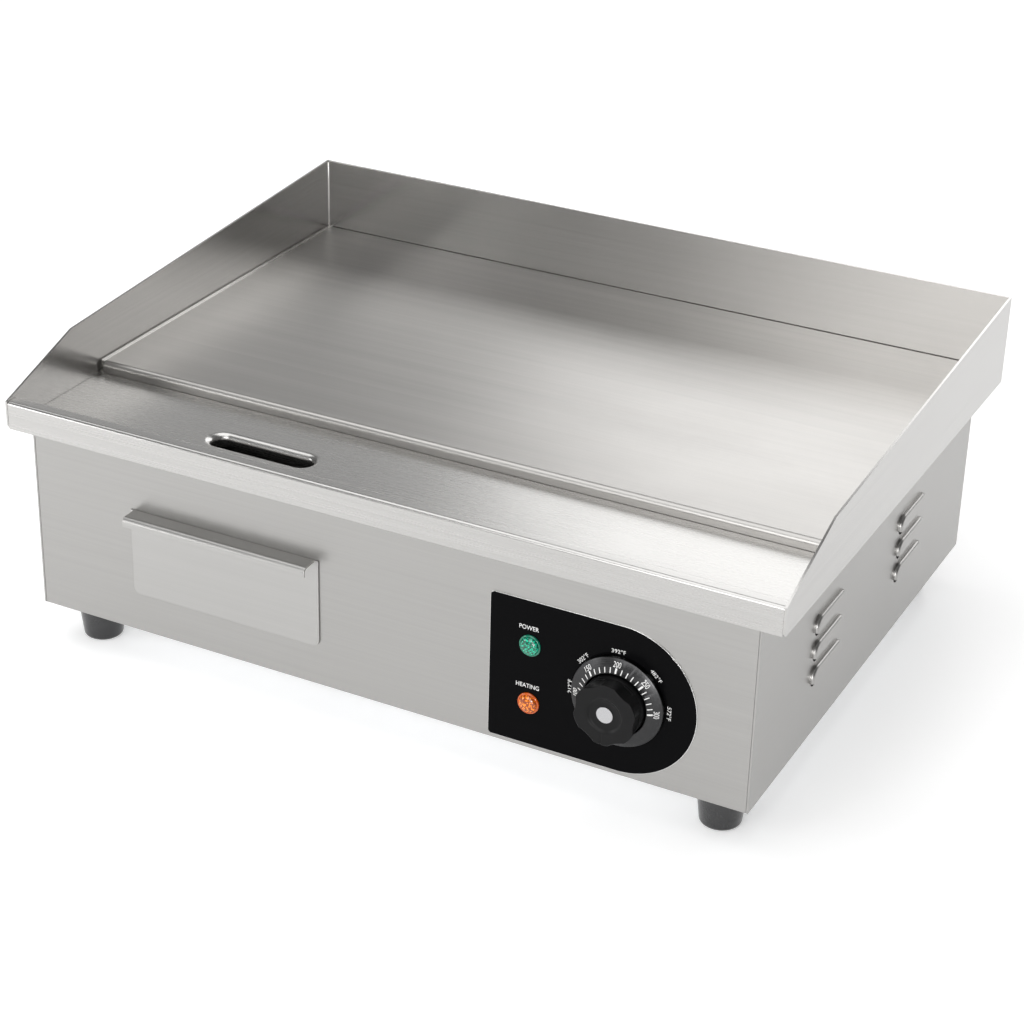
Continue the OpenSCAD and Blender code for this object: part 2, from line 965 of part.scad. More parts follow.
module thermostat_shaft() {
  color("silver")
    on_deck()
      rod_y(shaft_r, knob_bore_end_y + 0.2, 24, dial_x, dial_z);
}

module thermostat_knob() {
  back = -knob_back_y;
  step = -knob_step_y;
  face = -knob_face_y;
  boss_r = 7;
  color("#222224")
    on_deck()
      on_dial(0)
        difference() {
          union() {
            translate([0, 0, back]) cylinder(r = knob_r, h = step - back);
            translate([0, 0, step]) cylinder(r1 = knob_r - 0.4, r2 = knob_face_r, h = face - step);
          }
          for (i = [0 : grip_count - 1])
            rotate(grip_angle + i * 360 / grip_count)
              translate([knob_face_r - scallop_depth + scallop_r, 0, step + 1])
                cylinder(r1 = scallop_r - grip_back_cut, r2 = scallop_r, h = face - step - 1 + tiny);
          difference() {
            translate([0, 0, back - over]) cylinder(r = knob_r - knob_wall, h = step - back);
            translate([0, 0, back - 2 * over]) cylinder(r = boss_r, h = face);
          }
          translate([0, 0, back - over])
            cylinder(r = shaft_r + 0.05, h = -knob_bore_end_y - back + over);
          translate([0, 0, back - over])
            cylinder(r = hub_r + 0.4, h = 3 + over);
          translate([0, 0, face - dish_depth]) cylinder(r1 = dish_r - 2, r2 = dish_r, h = dish_depth + tiny);
          rotate(index_angle)
            translate([14, -0.6, face - 0.6]) cube([knob_face_r - 14 + over, 1.2, over + 0.6]);
        }
}

module knob_cap() {
  color("silver")
    on_deck()
      on_dial(knob_face_y + dish_depth)
        cylinder(r = cap_r, h = cap_proud);
}

// Lens with a flat rim and a shallow dome, pressed over the lamp's neck
module lamp_lens(z, tint) {
  dome_r = (lens_dome_r * lens_dome_r + lens_dome_h * lens_dome_h) / (2 * lens_dome_h);
  color(tint)
    on_deck()
      translate([lamp_x, fascia_y, z])
        rotate([90, 0, 0]) {
          cylinder(r = lens_r, h = lens_rim_t);
          intersection() {
            translate([0, 0, lens_rim_t + lens_dome_h - dome_r]) sphere(dome_r);
            translate([0, 0, lens_rim_t / 2]) cylinder(r = lens_r, h = lens_dome_h + lens_rim_t);
          }
        }
}

module power_lamp_lens() lamp_lens(power_z, "#12a070");
module heating_lamp_lens() lamp_lens(heating_z, "#e0560c");

module lamp_body(z) {
  color("ivory")
    on_deck() {
      rod_y(lamp_r, fascia_y, lamp_end_y, lamp_x, z);
      for (s = [-1, 1])
        block_from([lamp_x + s * 2.4 - 0.4, lamp_end_y - tiny, z - 1.5],
                   [lamp_x + s * 2.4 + 0.4, lamp_end_y + 8, z + 1.5]);
    }
}

module power_lamp_body() lamp_body(power_z);
module heating_lamp_body() lamp_body(heating_z);

module lamp_nuts() {
  color("#e8e8e8")
    on_deck()
      for (z = [power_z, heating_z])
        translate([lamp_x, front_in_y, z])
          rotate([-90, 0, 0]) hex_nut(15, 4, lamp_r + 0.1);
}

// ---------- grease drawer ----------

module drain_chute() {
  flange = 6;
  mid = [slot_x, slot_y, 0];
  color("silver")
    on_deck()
      translate(mid)
        difference() {
          union() {
            block_from([-chute_half[0], -chute_half[1], chute_low],
                       [chute_half[0], chute_half[1], under_z]);
            block_from([-chute_half[0] - flange, -chute_half[1] - flange, under_z - chute_t],
                       [chute_half[0] + flange, chute_half[1] + flange, under_z]);
          }
          block_from([-chute_half[0] + chute_t, -chute_half[1] + chute_t, chute_low - over],
                     [chute_half[0] - chute_t, chute_half[1] - chute_t, under_z + over]);
        }
}

// Section of the rolled handle: out from the front, round, and down
module handle_profile() {
  y_out = body_front_y - handle_out;
  y_back = front_back_y;
  z = drawer_top;
  translate([y_out + handle_r, z - front_t]) square([y_back - y_out - handle_r, front_t]);
  intersection() {
    translate([y_out + handle_r, z - handle_r])
      difference() {
        circle(handle_r);
        circle(handle_r - front_t);
      }
    translate([y_out - over, z - handle_r]) square(handle_r + over);
  }
  translate([y_out, z - handle_drop]) square([front_t, handle_drop - handle_r]);
}

module drawer_front() {
  half = drawer_w / 2;
  color("silver")
    on_deck()
      translate([drawer_x, 0, 0]) {
        along(front_back_y - front_t, front_back_y) {
          translate([-half, drawer_low + front_corner]) square([drawer_w, drawer_h - front_corner]);
          translate([-half + front_corner, drawer_low])
            square([drawer_w - 2 * front_corner, drawer_h]);
          for (s = [-1, 1])
            translate([s * (half - front_corner), drawer_low + front_corner]) circle(front_corner);
        }
        across(drawer_w - 2 * handle_inset) handle_profile();
      }
}

module drawer_tray() {
  back_y = tray_front_y + drawer_len;
  color("silver")
    on_deck()
      translate([drawer_x, 0, 0])
        difference() {
          union() {
            block_from([-tray_half, tray_front_y, tray_low], [tray_half, back_y, tray_top]);
            block_from([-lip_half, tray_front_y, tray_top - tray_t], [lip_half, back_y, tray_top]);
          }
          block_from([-tray_half + tray_t, tray_front_y + tray_t, tray_low + tray_t],
                     [tray_half - tray_t, back_y - tray_t, tray_top + over]);
        }
}

// Angle rail that carries one lip of the drawer's tray
module drawer_runner(side) {
  rail_top = tray_top - tray_t - runner_gap;
  color("silver")
    on_deck()
      translate([drawer_x, 0, 0])
        mirror([side < 0 ? 1 : 0, 0, 0]) {
          block_from([tray_half + 0.6, front_in_y, rail_top - runner_t],
                     [runner_half, runner_end_y, rail_top]);
          block_from([runner_half - tiny, front_in_y, rail_top - runner_t],
                     [runner_half + runner_t, runner_end_y, runner_top]);
        }
}

module drawer_runner_left() drawer_runner(-1);
module drawer_runner_right() drawer_runner(1);

// Stand behind the tray: holds the rails' back ends and stops the drawer
module runner_bracket() {
  foot = 14;
  half = runner_half + runner_t;
  color("silver")
    on_deck()
      translate([drawer_x, 0, 0]) {
        block_from([-half, runner_end_y, base_top], [half, runner_end_y + runner_t, runner_top]);
        block_from([-half, runner_end_y + runner_t - tiny, base_top],
                   [half, runner_end_y + foot, base_top + runner_t]);
      }
}

// ---------- supply and bonding ----------

module terminal_block() {
  half = block / 2;
  color("ivory")
    on_deck()
      translate(block_pos)
        difference() {
          block_from([-half[0], -half[1], -1.5], [half[0], half[1], block[2]]);
          for (i = [-1 : 1])
            translate([i * pole_pitch, 0, 0]) {
              block_from([-5, -half[1] - over, 10], [5, half[1] + over, block[2] + over]);
              translate([0, 0, 4]) cylinder(r = 1.6, h = 7);
            }
        }
}

module terminal_screws() {
  color("goldenrod")
    on_deck()
      for (i = [-1 : 1])
        translate(block_pos + [i * pole_pitch, 0, 10])
          pan_screw(1.5, 5, 3.4, 2.4);
}

module earth_stud() {
  color("goldenrod")
    on_deck()
      translate([earth[0], earth[1], base_top]) {
        cylinder(r = 2, h = 14);
        translate([0, 0, 4]) cylinder(r = 4, h = 1);
        cylinder(d = 7 / cos(30), h = 3, $fn = 6);
      }
}

// Hexagonal collar, threaded neck through the panel, and a domed clamping nut outside
module cable_gland() {
  color("#1a1a1a")
    on_deck()
      translate([gland[0], body_back_y, gland[1]])
        rotate([-90, 0, 0])
          difference() {
            union() {
              translate([0, 0, -gland_neck]) cylinder(r = gland_thread_r, h = gland_neck + tiny);
              cylinder(d = 22 / cos(30), h = 5, $fn = 6);
              translate([0, 0, 5 - tiny]) cylinder(r = 10, h = gland_out - 9 + tiny);
              translate([0, 0, gland_out - 4]) cylinder(r1 = 10, r2 = 6.5, h = 4);
            }
            translate([0, 0, -gland_neck - over])
              cylinder(r = gland_bore_r, h = gland_neck + gland_out + 2 * over);
          }
}

module gland_locknut() {
  color("#1a1a1a")
    on_deck()
      translate([gland[0], rear_in_y, gland[1]])
        rotate([90, 0, 0]) hex_nut(21, 4.5, gland_thread_r + 0.1);
}

module bonding_stud() {
  color("goldenrod")
    on_deck()
      rod_y(bond_r, rear_in_y - 6.5, body_back_y + 16, bond[0], bond[1]);
}

module bonding_nuts() {
  color("goldenrod")
    on_deck()
      for (y = [rear_in_y - 5, body_back_y, body_back_y + 7])
        translate([bond[0], y, bond[1]])
          rotate([-90, 0, 0]) hex_nut(10, 5, bond_r + 0.1);
}

module live_wires() {
  pole = block_pos + [-pole_pitch, 0, 14];
  tail_y = thermo_y[1] + 0.3;
  top = dial_z + 14;
  leg_y = terminal_y - 4;
  leg_z = pin_low_z + 1.5;
  color("saddlebrown")
    on_deck() {
      wire([
        pole + [0, -6, 0], pole + [2, -24, 6], [236, 300, 70], [236, 90, 74],
        [dial_x + 30, 62, top], [dial_x + 14, 54, top], [dial_x + 14, tail_y, top]
      ], wire_r);
      wire([
        [dial_x - 14, tail_y, top], [dial_x - 14, 56, top], [70, 96, 111],
        [element_x + run_x[0], 108, 113], [element_x + run_x[0], leg_y, leg_z]
      ], wire_r);
      wire([
        [dial_x - 14, tail_y, top - 12], [dial_x - 14, 60, top - 12], [70, 90, 102],
        [run_x[3] - element_x + 12, 104, 112], [run_x[3] - element_x, leg_y, leg_z]
      ], wire_r);
    }
}

module neutral_wires() {
  pole = block_pos + [0, 0, 14];
  leg_y = terminal_y - 4;
  leg_z = pin_low_z + 1.5;
  color("steelblue")
    on_deck() {
      wire([
        pole + [0, 6, 0], pole + [0, 20, 20], [100, 391, 106], [-236, 391, 106],
        [-243, 130, 106], [-element_x + run_x[0], 112, 108], [-element_x + run_x[0], leg_y, leg_z]
      ], wire_r);
      wire([
        pole + [0, -6, 0], pole + [8, -20, 14], [242, 312, 96],
        [242, 130, 106], [element_x + run_x[3], 112, 108], [element_x + run_x[3], leg_y, leg_z]
      ], wire_r);
    }
}

// Two leads from each indicator lamp, one to the thermostat and one back to the supply
module lamp_wires() {
  tab_y = lamp_end_y + 8.4;
  tail_y = thermo_y[1] + 1.2;
  color("dimgray")
    on_deck()
      for (i = [0, 1])
        let (z = [heating_z, power_z][i], step = 5 * i) {
          wire([
            [lamp_x + 2.4, tab_y, z], [lamp_x + 6, 49 + step, z],
            [dial_x - 18 + step, 49 + step, dial_z - 12], [dial_x - 10 + step, tail_y, dial_z - 14]
          ], lamp_wire_r);
          wire([
            [lamp_x - 2.4, tab_y, z], [lamp_x - 8 - step, 66, z],
            [lamp_x - 8 - step, 110, 46], [lamp_x + 24 - step, 320, 62],
            block_pos + [-step - 1, 26, 30], block_pos + [2 - step, 12, 18]
          ], lamp_wire_r);
        }
}

module earth_wire() {
  color("yellowgreen")
    on_deck()
      wire([
        block_pos + [pole_pitch, -6, 14], block_pos + [pole_pitch + 6, -16, 16],
        [earth[0], earth[1] + 8, base_top + 20], [earth[0], earth[1], base_top + 15.6]
      ], wire_r);
}

deck_tray();
splash_guard_left();
splash_guard_right();
splash_guard_rear();
griddle_plate();
plate_weld_seam();
plate_studs();
stud_nuts();
heating_element_left();
heating_element_right();
element_terminals();
element_clamp_bars();
sensing_bulb();
bulb_saddle();
capillary_tube();
high_limit_cutout();
insulation_blanket();
insulation_tray();
front_panel();
side_panel_left();
side_panel_right();
rear_panel();
base_plate();
rear_screws();
base_screws();
foot_front_left();
foot_front_right();
foot_rear_left();
foot_rear_right();
foot_screws();
foot_nuts();
control_fascia();
dial_bezel();
thermostat_body();
thermostat_screws();
thermostat_shaft();
thermostat_knob();
knob_cap();
power_lamp_lens();
heating_lamp_lens();
power_lamp_body();
heating_lamp_body();
lamp_nuts();
drain_chute();
drawer_front();
drawer_tray();
drawer_runner_left();
drawer_runner_right();
runner_bracket();
terminal_block();
terminal_screws();
earth_stud();
cable_gland();
gland_locknut();
bonding_stud();
bonding_nuts();
live_wires();
neutral_wires();
lamp_wires();
earth_wire();
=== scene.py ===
"""Countertop electric griddle: the looks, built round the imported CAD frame."""
from math import atan2, cos, hypot, pi, radians, remainder, sin, sqrt

import bmesh
import bpy
from bpy.props import FloatProperty, FloatVectorProperty, IntProperty, PointerProperty
from mathutils import Matrix, Vector


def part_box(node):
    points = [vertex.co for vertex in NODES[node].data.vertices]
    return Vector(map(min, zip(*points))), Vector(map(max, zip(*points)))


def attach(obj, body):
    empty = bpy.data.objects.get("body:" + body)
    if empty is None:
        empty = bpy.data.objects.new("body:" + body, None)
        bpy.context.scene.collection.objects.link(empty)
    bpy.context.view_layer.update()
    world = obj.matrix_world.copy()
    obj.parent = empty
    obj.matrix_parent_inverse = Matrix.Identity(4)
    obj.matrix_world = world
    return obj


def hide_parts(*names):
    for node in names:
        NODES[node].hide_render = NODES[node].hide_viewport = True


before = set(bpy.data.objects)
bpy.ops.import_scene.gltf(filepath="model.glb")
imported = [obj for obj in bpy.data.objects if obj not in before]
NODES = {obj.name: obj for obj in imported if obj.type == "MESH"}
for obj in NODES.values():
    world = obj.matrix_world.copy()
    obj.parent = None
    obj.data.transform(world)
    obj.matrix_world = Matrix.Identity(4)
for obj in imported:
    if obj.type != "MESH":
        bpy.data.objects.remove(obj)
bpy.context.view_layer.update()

bl_info = {
    "name": "Countertop electric griddle",
    "version": (1, 0, 0),
    "blender": (4, 5, 0),
    "location": "3D View > Sidebar > Griddle",
    "description": "Finishes, dial, lamps, welds and studio of a countertop electric griddle",
    "category": "Object",
}

MM = 0.001


def middle(node):
    """Centre of a CAD node's box."""
    low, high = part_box(node)
    return (low + high) / 2


FASCIA_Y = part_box("control_fascia")[0].y
DIAL = middle("dial_bezel")
LAMPS = {"power": middle("power_lamp_lens"), "heating": middle("heating_lamp_lens")}
BEZEL_LOW, BEZEL_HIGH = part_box("dial_bezel")
BEZEL_R = (BEZEL_HIGH.x - BEZEL_LOW.x) / 2

# Sizes that the frame's boxes don't give
RING_EDGE = 3.6 * MM
RING_CROWN_R = 21.9 * MM
RING_TICKS = (22.0 * MM, 25.0 * MM)
RING_NUMBERS_R = 27.0 * MM
FOIL_CORNER = 2.6 * MM
LENS_RIM = 1.4 * MM
PRISMS_R = 6.1 * MM
KNOB_SKIRT_R = 20.0 * MM
KNOB_FACE_R = 20.8 * MM
KNOB_GRIP = 10.9 * MM
KNOB_INDEX = radians(-95)
GRIP_ANGLE = radians(55)
GRIP_PITCH = radians(60)
SCOOP_R = 26.0 * MM
DISH_R = 12.2 * MM
DISH = 1.4 * MM


# ---------- settings ----------


def length(name, text, default, low=0.0, high=1.0):
    """Property for one size in metres."""
    return FloatProperty(
        name=name, description=text, default=default, min=low, max=high,
        unit="LENGTH", precision=5,
    )


def colour(name, text, default):
    """Property for one colour."""
    return FloatVectorProperty(
        name=name, description=text, default=default, size=3, min=0.0, max=1.0,
        subtype="COLOR",
    )


class GriddleSheetSettings(bpy.types.PropertyGroup):
    """Steel sheet of the deck, guards, casing and drawer."""

    edge: length("Edge rounding", "Rounding of a sheet's cut edges", 0.45 * MM)
    weld_r: length("Weld radius", "Radius of the dressed corner welds", 1.1 * MM)
    deck: colour("Deck steel", "Steel of the deck and guards", (0.50, 0.493, 0.482))
    case: colour("Case steel", "Steel of the casing", (0.385, 0.379, 0.369))
    drawer: colour("Drawer steel", "Steel of the drawer", (0.43, 0.425, 0.415))
    plate: colour("Plate steel", "Steel of the cooking plate", (0.43, 0.42, 0.406))


class GriddleDialSettings(bpy.types.PropertyGroup):
    """Fascia, dial, knob and lamps."""

    border: length("Bare border", "Bare metal left round the printed foil", 0.35 * MM)
    foil: length("Foil thickness", "Thickness of the printed foil", 0.12 * MM)
    ink: length("Ink thickness", "How far the print stands out", 0.05 * MM)
    capital: length("Capital height", "Height of the lamp words", 3.0 * MM)
    numeral: length("Numeral height", "Height of the numbers round the dial", 2.8 * MM)
    knob_round: length("Knob edge", "Rounding of the knob's face edge", 0.7 * MM)
    black: colour("Foil colour", "Colour of the printed foil", (0.0025, 0.0025, 0.0028))
    knob: colour("Knob colour", "Colour of the knob", (0.005, 0.005, 0.0053))
    green: colour("Power lens", "Colour of the power lamp", (0.003, 0.27, 0.16))
    orange: colour("Heating lens", "Colour of the heating lamp", (0.88, 0.14, 0.004))
    facets: IntProperty(
        name="Lens facets", description="Subdivisions of a lens's prism pattern",
        default=3, min=2, max=5,
    )


class GriddleStageSettings(bpy.types.PropertyGroup):
    """Floor, lights and camera."""

    floor: colour("Floor", "Colour of the floor", (0.86, 0.86, 0.86))
    lens: FloatProperty(
        name="Lens", description="Focal length on a 36 mm sensor", default=85.87,
        min=20.0, max=300.0, unit="CAMERA",
    )
    yaw: FloatProperty(
        name="Yaw", description="Camera's turn about the vertical",
        default=radians(27.203), subtype="ANGLE",
    )
    pitch: FloatProperty(
        name="Pitch", description="Camera's tilt below the horizon",
        default=radians(27.0), subtype="ANGLE",
    )
    roll: FloatProperty(
        name="Roll", description="Camera's turn about its own axis",
        default=radians(1.296), subtype="ANGLE",
    )
    place: FloatVectorProperty(
        name="Camera place", description="Where the camera stands",
        default=(0.67548, -1.34495, 0.86017), size=3, unit="LENGTH",
    )


# ---------- shader maths ----------


class Value:
    """A shader socket. Operators on it add the Math nodes."""

    def __init__(self, finish, socket):
        self.finish, self.socket = finish, socket

    def __add__(self, other):
        return self.finish.math("ADD", self, other)

    def __sub__(self, other):
        return self.finish.math("SUBTRACT", self, other)

    def __rsub__(self, other):
        return self.finish.math("SUBTRACT", other, self)

    def __mul__(self, other):
        return self.finish.math("MULTIPLY", self, other)

    def __truediv__(self, other):
        return self.finish.math("DIVIDE", self, other)

    def __pow__(self, other):
        return self.finish.math("POWER", self, other)

    __radd__ = __add__
    __rmul__ = __mul__

    def step(self, low, high):
        """0 below low, 1 above high, straight between them."""
        return self.finish.node(
            "MapRange", {"clamp": True}, {0: self, 1: low, 2: high, 3: 0.0, 4: 1.0}
        )


class Finish:
    """One material: its Principled shader, and what varies over the surface."""

    def __init__(self, name, base, roughness, metallic=0.0, **fixed):
        self.material = bpy.data.materials.new(name)
        self.material.use_nodes = True
        self.tree = self.material.node_tree
        self.shader = self.tree.nodes["Principled BSDF"]
        self.feed("Base Color", (*base, 1.0))
        self.feed("Roughness", roughness)
        self.feed("Metallic", metallic)
        for words, value in fixed.items():
            self.feed(words.replace("_", " "), value)

    def feed(self, socket, value):
        """Sets a socket of the shader, or links it."""
        self._give(self.shader.inputs[socket], value)

    def _give(self, socket, value):
        if isinstance(value, Value):
            self.tree.links.new(value.socket, socket)
        else:
            socket.default_value = value

    def node(self, kind, settings=None, values=None, out=0):
        """Adds a node: its settings first, then the values or links of its sockets."""
        made = self.tree.nodes.new("ShaderNode" + kind)
        for key, value in (settings or {}).items():
            if key == "stops":
                ramp = made.color_ramp.elements
                while len(ramp) < len(value):
                    ramp.new(0.5)
                for element, (at, tint) in zip(ramp, value):
                    element.position, element.color = at, tint
            else:
                setattr(made, key, value)
        for key, value in (values or {}).items():
            self._give(made.inputs[key], value)
        return Value(self, made.outputs[out])

    def math(self, operation, a, b=0.0):
        """One Math node."""
        return self.node("Math", {"operation": operation}, {0: a, 1: b})

    def spot(self, scale=(1.0, 1.0, 1.0), centre=(0.0, 0.0, 0.0)):
        """Object coordinates measured from centre, then stretched."""
        moved = [-c * s for c, s in zip(centre, scale)]
        where = self.node("TexCoord", out="Object")
        return self.node(
            "Mapping", values={"Vector": where, "Location": moved, "Scale": scale}
        )

    def noise(self, scale, detail=2.0, stretch=(1.0, 1.0, 1.0), rough=0.5):
        """Noise from 0 to 1, its scale in repeats a metre."""
        return self.node(
            "TexNoise",
            values={
                "Vector": self.spot(stretch), "Scale": scale, "Detail": detail,
                "Roughness": rough,
            },
        )

    def mix(self, factor, a, b):
        """Colour between a and b."""
        ends = [(*c, 1.0) if isinstance(c, tuple) and len(c) == 3 else c for c in (a, b)]
        return self.node(
            "Mix", {"data_type": "RGBA"}, {0: factor, 6: ends[0], 7: ends[1]}, 2
        )

    def axes(self, centre=(0.0, 0.0, 0.0)):
        """The three coordinates from centre, as numbers."""
        split = self.node("SeparateXYZ", values={0: self.spot(centre=centre)})
        outs = split.socket.node.outputs
        return [Value(self, outs[i]) for i in range(3)]

    def bump(self, height, strength, depth):
        """Feeds the shader's normal from a height."""
        self.feed(
            "Normal",
            self.node(
                "Bump",
                values={"Height": height, "Strength": strength, "Distance": depth},
            ),
        )


def shade(tint, factor):
    """A colour made lighter or darker."""
    return tuple(min(1.0, c * factor) for c in tint)


LONG = {"x": (1.0, 260.0, 260.0), "y": (260.0, 1.0, 260.0), "z": (260.0, 260.0, 1.0)}


def brushed_steel(name, tint, along, rough=0.30, spread=0.16, tone=0.10, wear=0.05):
    """Sheet with a long grain: fine lines, broader streaks and faint handling marks."""
    f = Finish(name, tint, rough, 1.0)
    fine = f.noise(9.0, 3.0, LONG[along], 0.6)
    broad = f.noise(1.6, 2.0, LONG[along])
    marks = f.noise(14.0, 3.0)
    grain = fine * 0.6 + broad * 0.4
    f.feed("Roughness", rough + (grain - 0.5) * spread + (marks - 0.5) * wear)
    f.feed(
        "Base Color",
        f.mix(grain.step(0.25, 0.75), shade(tint, 1 - tone), shade(tint, 1 + tone)),
    )
    f.bump(fine, 0.35, 0.00003)
    return f.material


def ground_plate(name, tint):
    """Ground cooking plate: long passes of the belt, and faint swirls of wiping."""
    f = Finish(name, tint, 0.34, 1.0)
    fine = f.noise(8.0, 4.0, LONG["x"], 0.65)
    passes = f.noise(0.55, 2.0, LONG["x"])
    wiped = f.noise(7.0, 4.0, (1.0, 2.2, 1.0))
    grain = fine * 0.55 + passes * 0.45
    f.feed("Roughness", 0.33 + (grain - 0.5) * 0.20 + (wiped - 0.5) * 0.10)
    f.feed(
        "Base Color",
        f.mix(grain.step(0.2, 0.8), shade(tint, 0.84), shade(tint, 1.16)),
    )
    f.bump(fine, 0.4, 0.00004)
    return f.material


def satin_metal(name, tint, rough=0.3, scale=900.0, dent=0.00002):
    """Plain small metal part: tumbled, slightly uneven."""
    f = Finish(name, tint, rough, 1.0)
    pits = f.noise(scale, 3.0)
    patches = f.noise(scale * 0.08, 2.0)
    f.feed("Roughness", rough + (pits - 0.5) * 0.14 + (patches - 0.5) * 0.12)
    f.feed("Base Color", f.mix(patches.step(0.3, 0.7), shade(tint, 0.9), shade(tint, 1.1)))
    f.bump(pits, 0.3, dent)
    return f.material


def moulded(name, tint, rough=0.45, scale=2400.0, depth=0.00002, **fixed):
    """Moulded plastic or rubber: fine tool texture and slight uneven gloss."""
    f = Finish(name, tint, rough, 0.0, **fixed)
    skin = f.noise(scale, 2.0)
    patches = f.noise(60.0, 2.0)
    f.feed("Roughness", rough + (skin - 0.5) * 0.10 + (patches - 0.5) * 0.08)
    f.feed("Base Color", f.mix(patches, shade(tint, 0.88), shade(tint, 1.14)))
    f.bump(skin, 0.35, depth)
    return f.material


def turned(name, tint, centre, rough, metallic, pitch=0.00022, depth=0.00001, tone=0.12):
    """Face turned on a lathe about the Y axis through centre."""
    f = Finish(name, tint, rough, metallic)
    x, y, z = f.axes(tuple(centre))
    radius = (x * x + z * z) ** 0.5
    rings = f.node(
        "TexNoise", {"noise_dimensions": "1D"},
        {"W": radius / pitch + y / pitch, "Scale": 1.0, "Detail": 2.0},
    )
    patches = f.noise(150.0, 2.0)
    f.feed("Roughness", rough + (rings - 0.5) * 0.18 + (patches - 0.5) * 0.05)
    f.feed(
        "Base Color",
        f.mix(rings.step(0.3, 0.7), shade(tint, 1 - tone), shade(tint, 1 + tone)),
    )
    f.bump(rings, 0.4, depth)
    return f.material


def lens_plastic(name, tint):
    """Clear moulded lens over its own reflector: deep colour with painted glints, lighter in
    cells where the prisms catch light; the lens also glows as a lamp.
    """
    f = Finish(
        name, tint, 0.16, 0.0, Coat_Weight=0.35, Coat_Roughness=0.05,
        Emission_Strength=0.3,
    )
    cells = f.node(
        "TexVoronoi", {"feature": "F1"},
        {"Vector": f.spot(), "Scale": 760.0, "Randomness": 0.8},
    )
    sparks = f.noise(1100.0, 1.0)
    # painted glints: cells and sparks lighten the lens colour and its lamp glow, standing in
    # for light caught by the prisms
    painted_glints = (cells * 0.75 + sparks * 0.4).step(0.32, 0.62)
    tinted = f.mix(painted_glints, shade(tint, 1.9), shade(tint, 0.22))
    f.feed("Base Color", tinted)
    f.feed("Emission Color", tinted)
    f.feed("Roughness", 0.10 + sparks * 0.12)
    return f.material


def lens_rim(name, tint):
    """Clear moulded rim of a lens: cloudy and darker than its middle."""
    f = Finish(
        name, tint, 0.1, 0.0, Coat_Weight=0.5, Coat_Roughness=0.04,
        Emission_Strength=0.06,
    )
    cloud = f.noise(700.0, 2.0)
    tinted = f.mix(cloud, shade(tint, 0.3), shade(tint, 0.75))
    f.feed("Base Color", tinted)
    f.feed("Emission Color", tinted)
    f.feed("Roughness", 0.07 + cloud * 0.06)
    return f.material


def fibre_blanket(name, tint):
    """Ceramic fibre blanket: matted strands."""
    f = Finish(name, tint, 0.95, 0.0, Sheen_Weight=0.3)
    strands = f.noise(500.0, 6.0, (1.0, 2.5, 4.0), 0.7)
    tufts = f.noise(60.0, 3.0)
    f.feed("Base Color", f.mix(strands * 0.5 + tufts * 0.5, shade(tint, 0.8), tint))
    f.bump(strands, 0.8, 0.0006)
    return f.material


def two_tone_wire(name):
    """Green earth wire with its yellow stripe."""
    f = Finish(name, (0.05, 0.30, 0.05), 0.4)
    x, y, z = f.axes()
    stripe = f.math("SINE", (x + y + z) * 900.0) * 0.5 + 0.5
    skin = f.noise(900.0)
    green, yellow = (0.05, 0.30, 0.05), (0.75, 0.62, 0.02)
    f.feed("Base Color", f.mix(stripe.step(0.45, 0.55), green, yellow))
    f.feed("Roughness", 0.35 + skin * 0.15)
    return f.material


def printed_white(name):
    """White screen print."""
    f = Finish(name, (0.80, 0.80, 0.79), 0.45)
    film = f.noise(2600.0, 2.0)
    f.feed("Base Color", f.mix(film, (0.70, 0.70, 0.69), (0.86, 0.86, 0.85)))
    f.feed("Roughness", 0.38 + film * 0.16)
    return f.material


def gloss_foil(name, tint):
    """Printed foil over the fascia: deep black gloss with a slight orange peel."""
    f = Finish(name, tint, 0.2, 0.0, Specular_IOR_Level=0.03)
    peel = f.noise(420.0, 2.0)
    dust = f.noise(3200.0, 1.0)
    f.feed("Roughness", 0.18 + (peel - 0.5) * 0.06 + dust.step(0.66, 0.75) * 0.15)
    f.feed("Base Color", f.mix(dust.step(0.68, 0.78), tint, shade(tint, 1.8)))
    f.bump(peel, 0.12, 0.00005)
    return f.material


def floor_finish(name, tint):
    """Pale studio floor with a faint unevenness."""
    f = Finish(name, tint, 0.6, Emission_Color=(1.0, 1.0, 1.0, 1.0), Emission_Strength=0.36)
    patches = f.noise(3.0, 2.0)
    f.feed("Base Color", f.mix(patches, shade(tint, 0.985), shade(tint, 1.015)))
    f.feed("Roughness", 0.55 + patches * 0.1)
    return f.material


# ---------- meshes ----------


def finished(bm, name, material, body="root", stands_for=(), smooth=35.0):
    """Turns a bmesh into a piece of the object that rides on its body."""
    bmesh.ops.recalc_face_normals(bm, faces=bm.faces)
    mesh = bpy.data.meshes.new(name)
    bm.to_mesh(mesh)
    bm.free()
    return placed(mesh, name, material, body, stands_for, smooth)


def placed(mesh, name, material, body="root", stands_for=(), smooth=35.0):
    """Makes a piece from a mesh whose vertices are already in place."""
    if smooth:
        mesh.shade_smooth()
        mesh.set_sharp_from_angle(angle=radians(smooth))
    piece = bpy.data.objects.new(name, mesh)
    bpy.context.scene.collection.objects.link(piece)
    mesh.materials.append(material)
    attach(piece, body)
    if stands_for:
        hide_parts(*stands_for)
    return piece


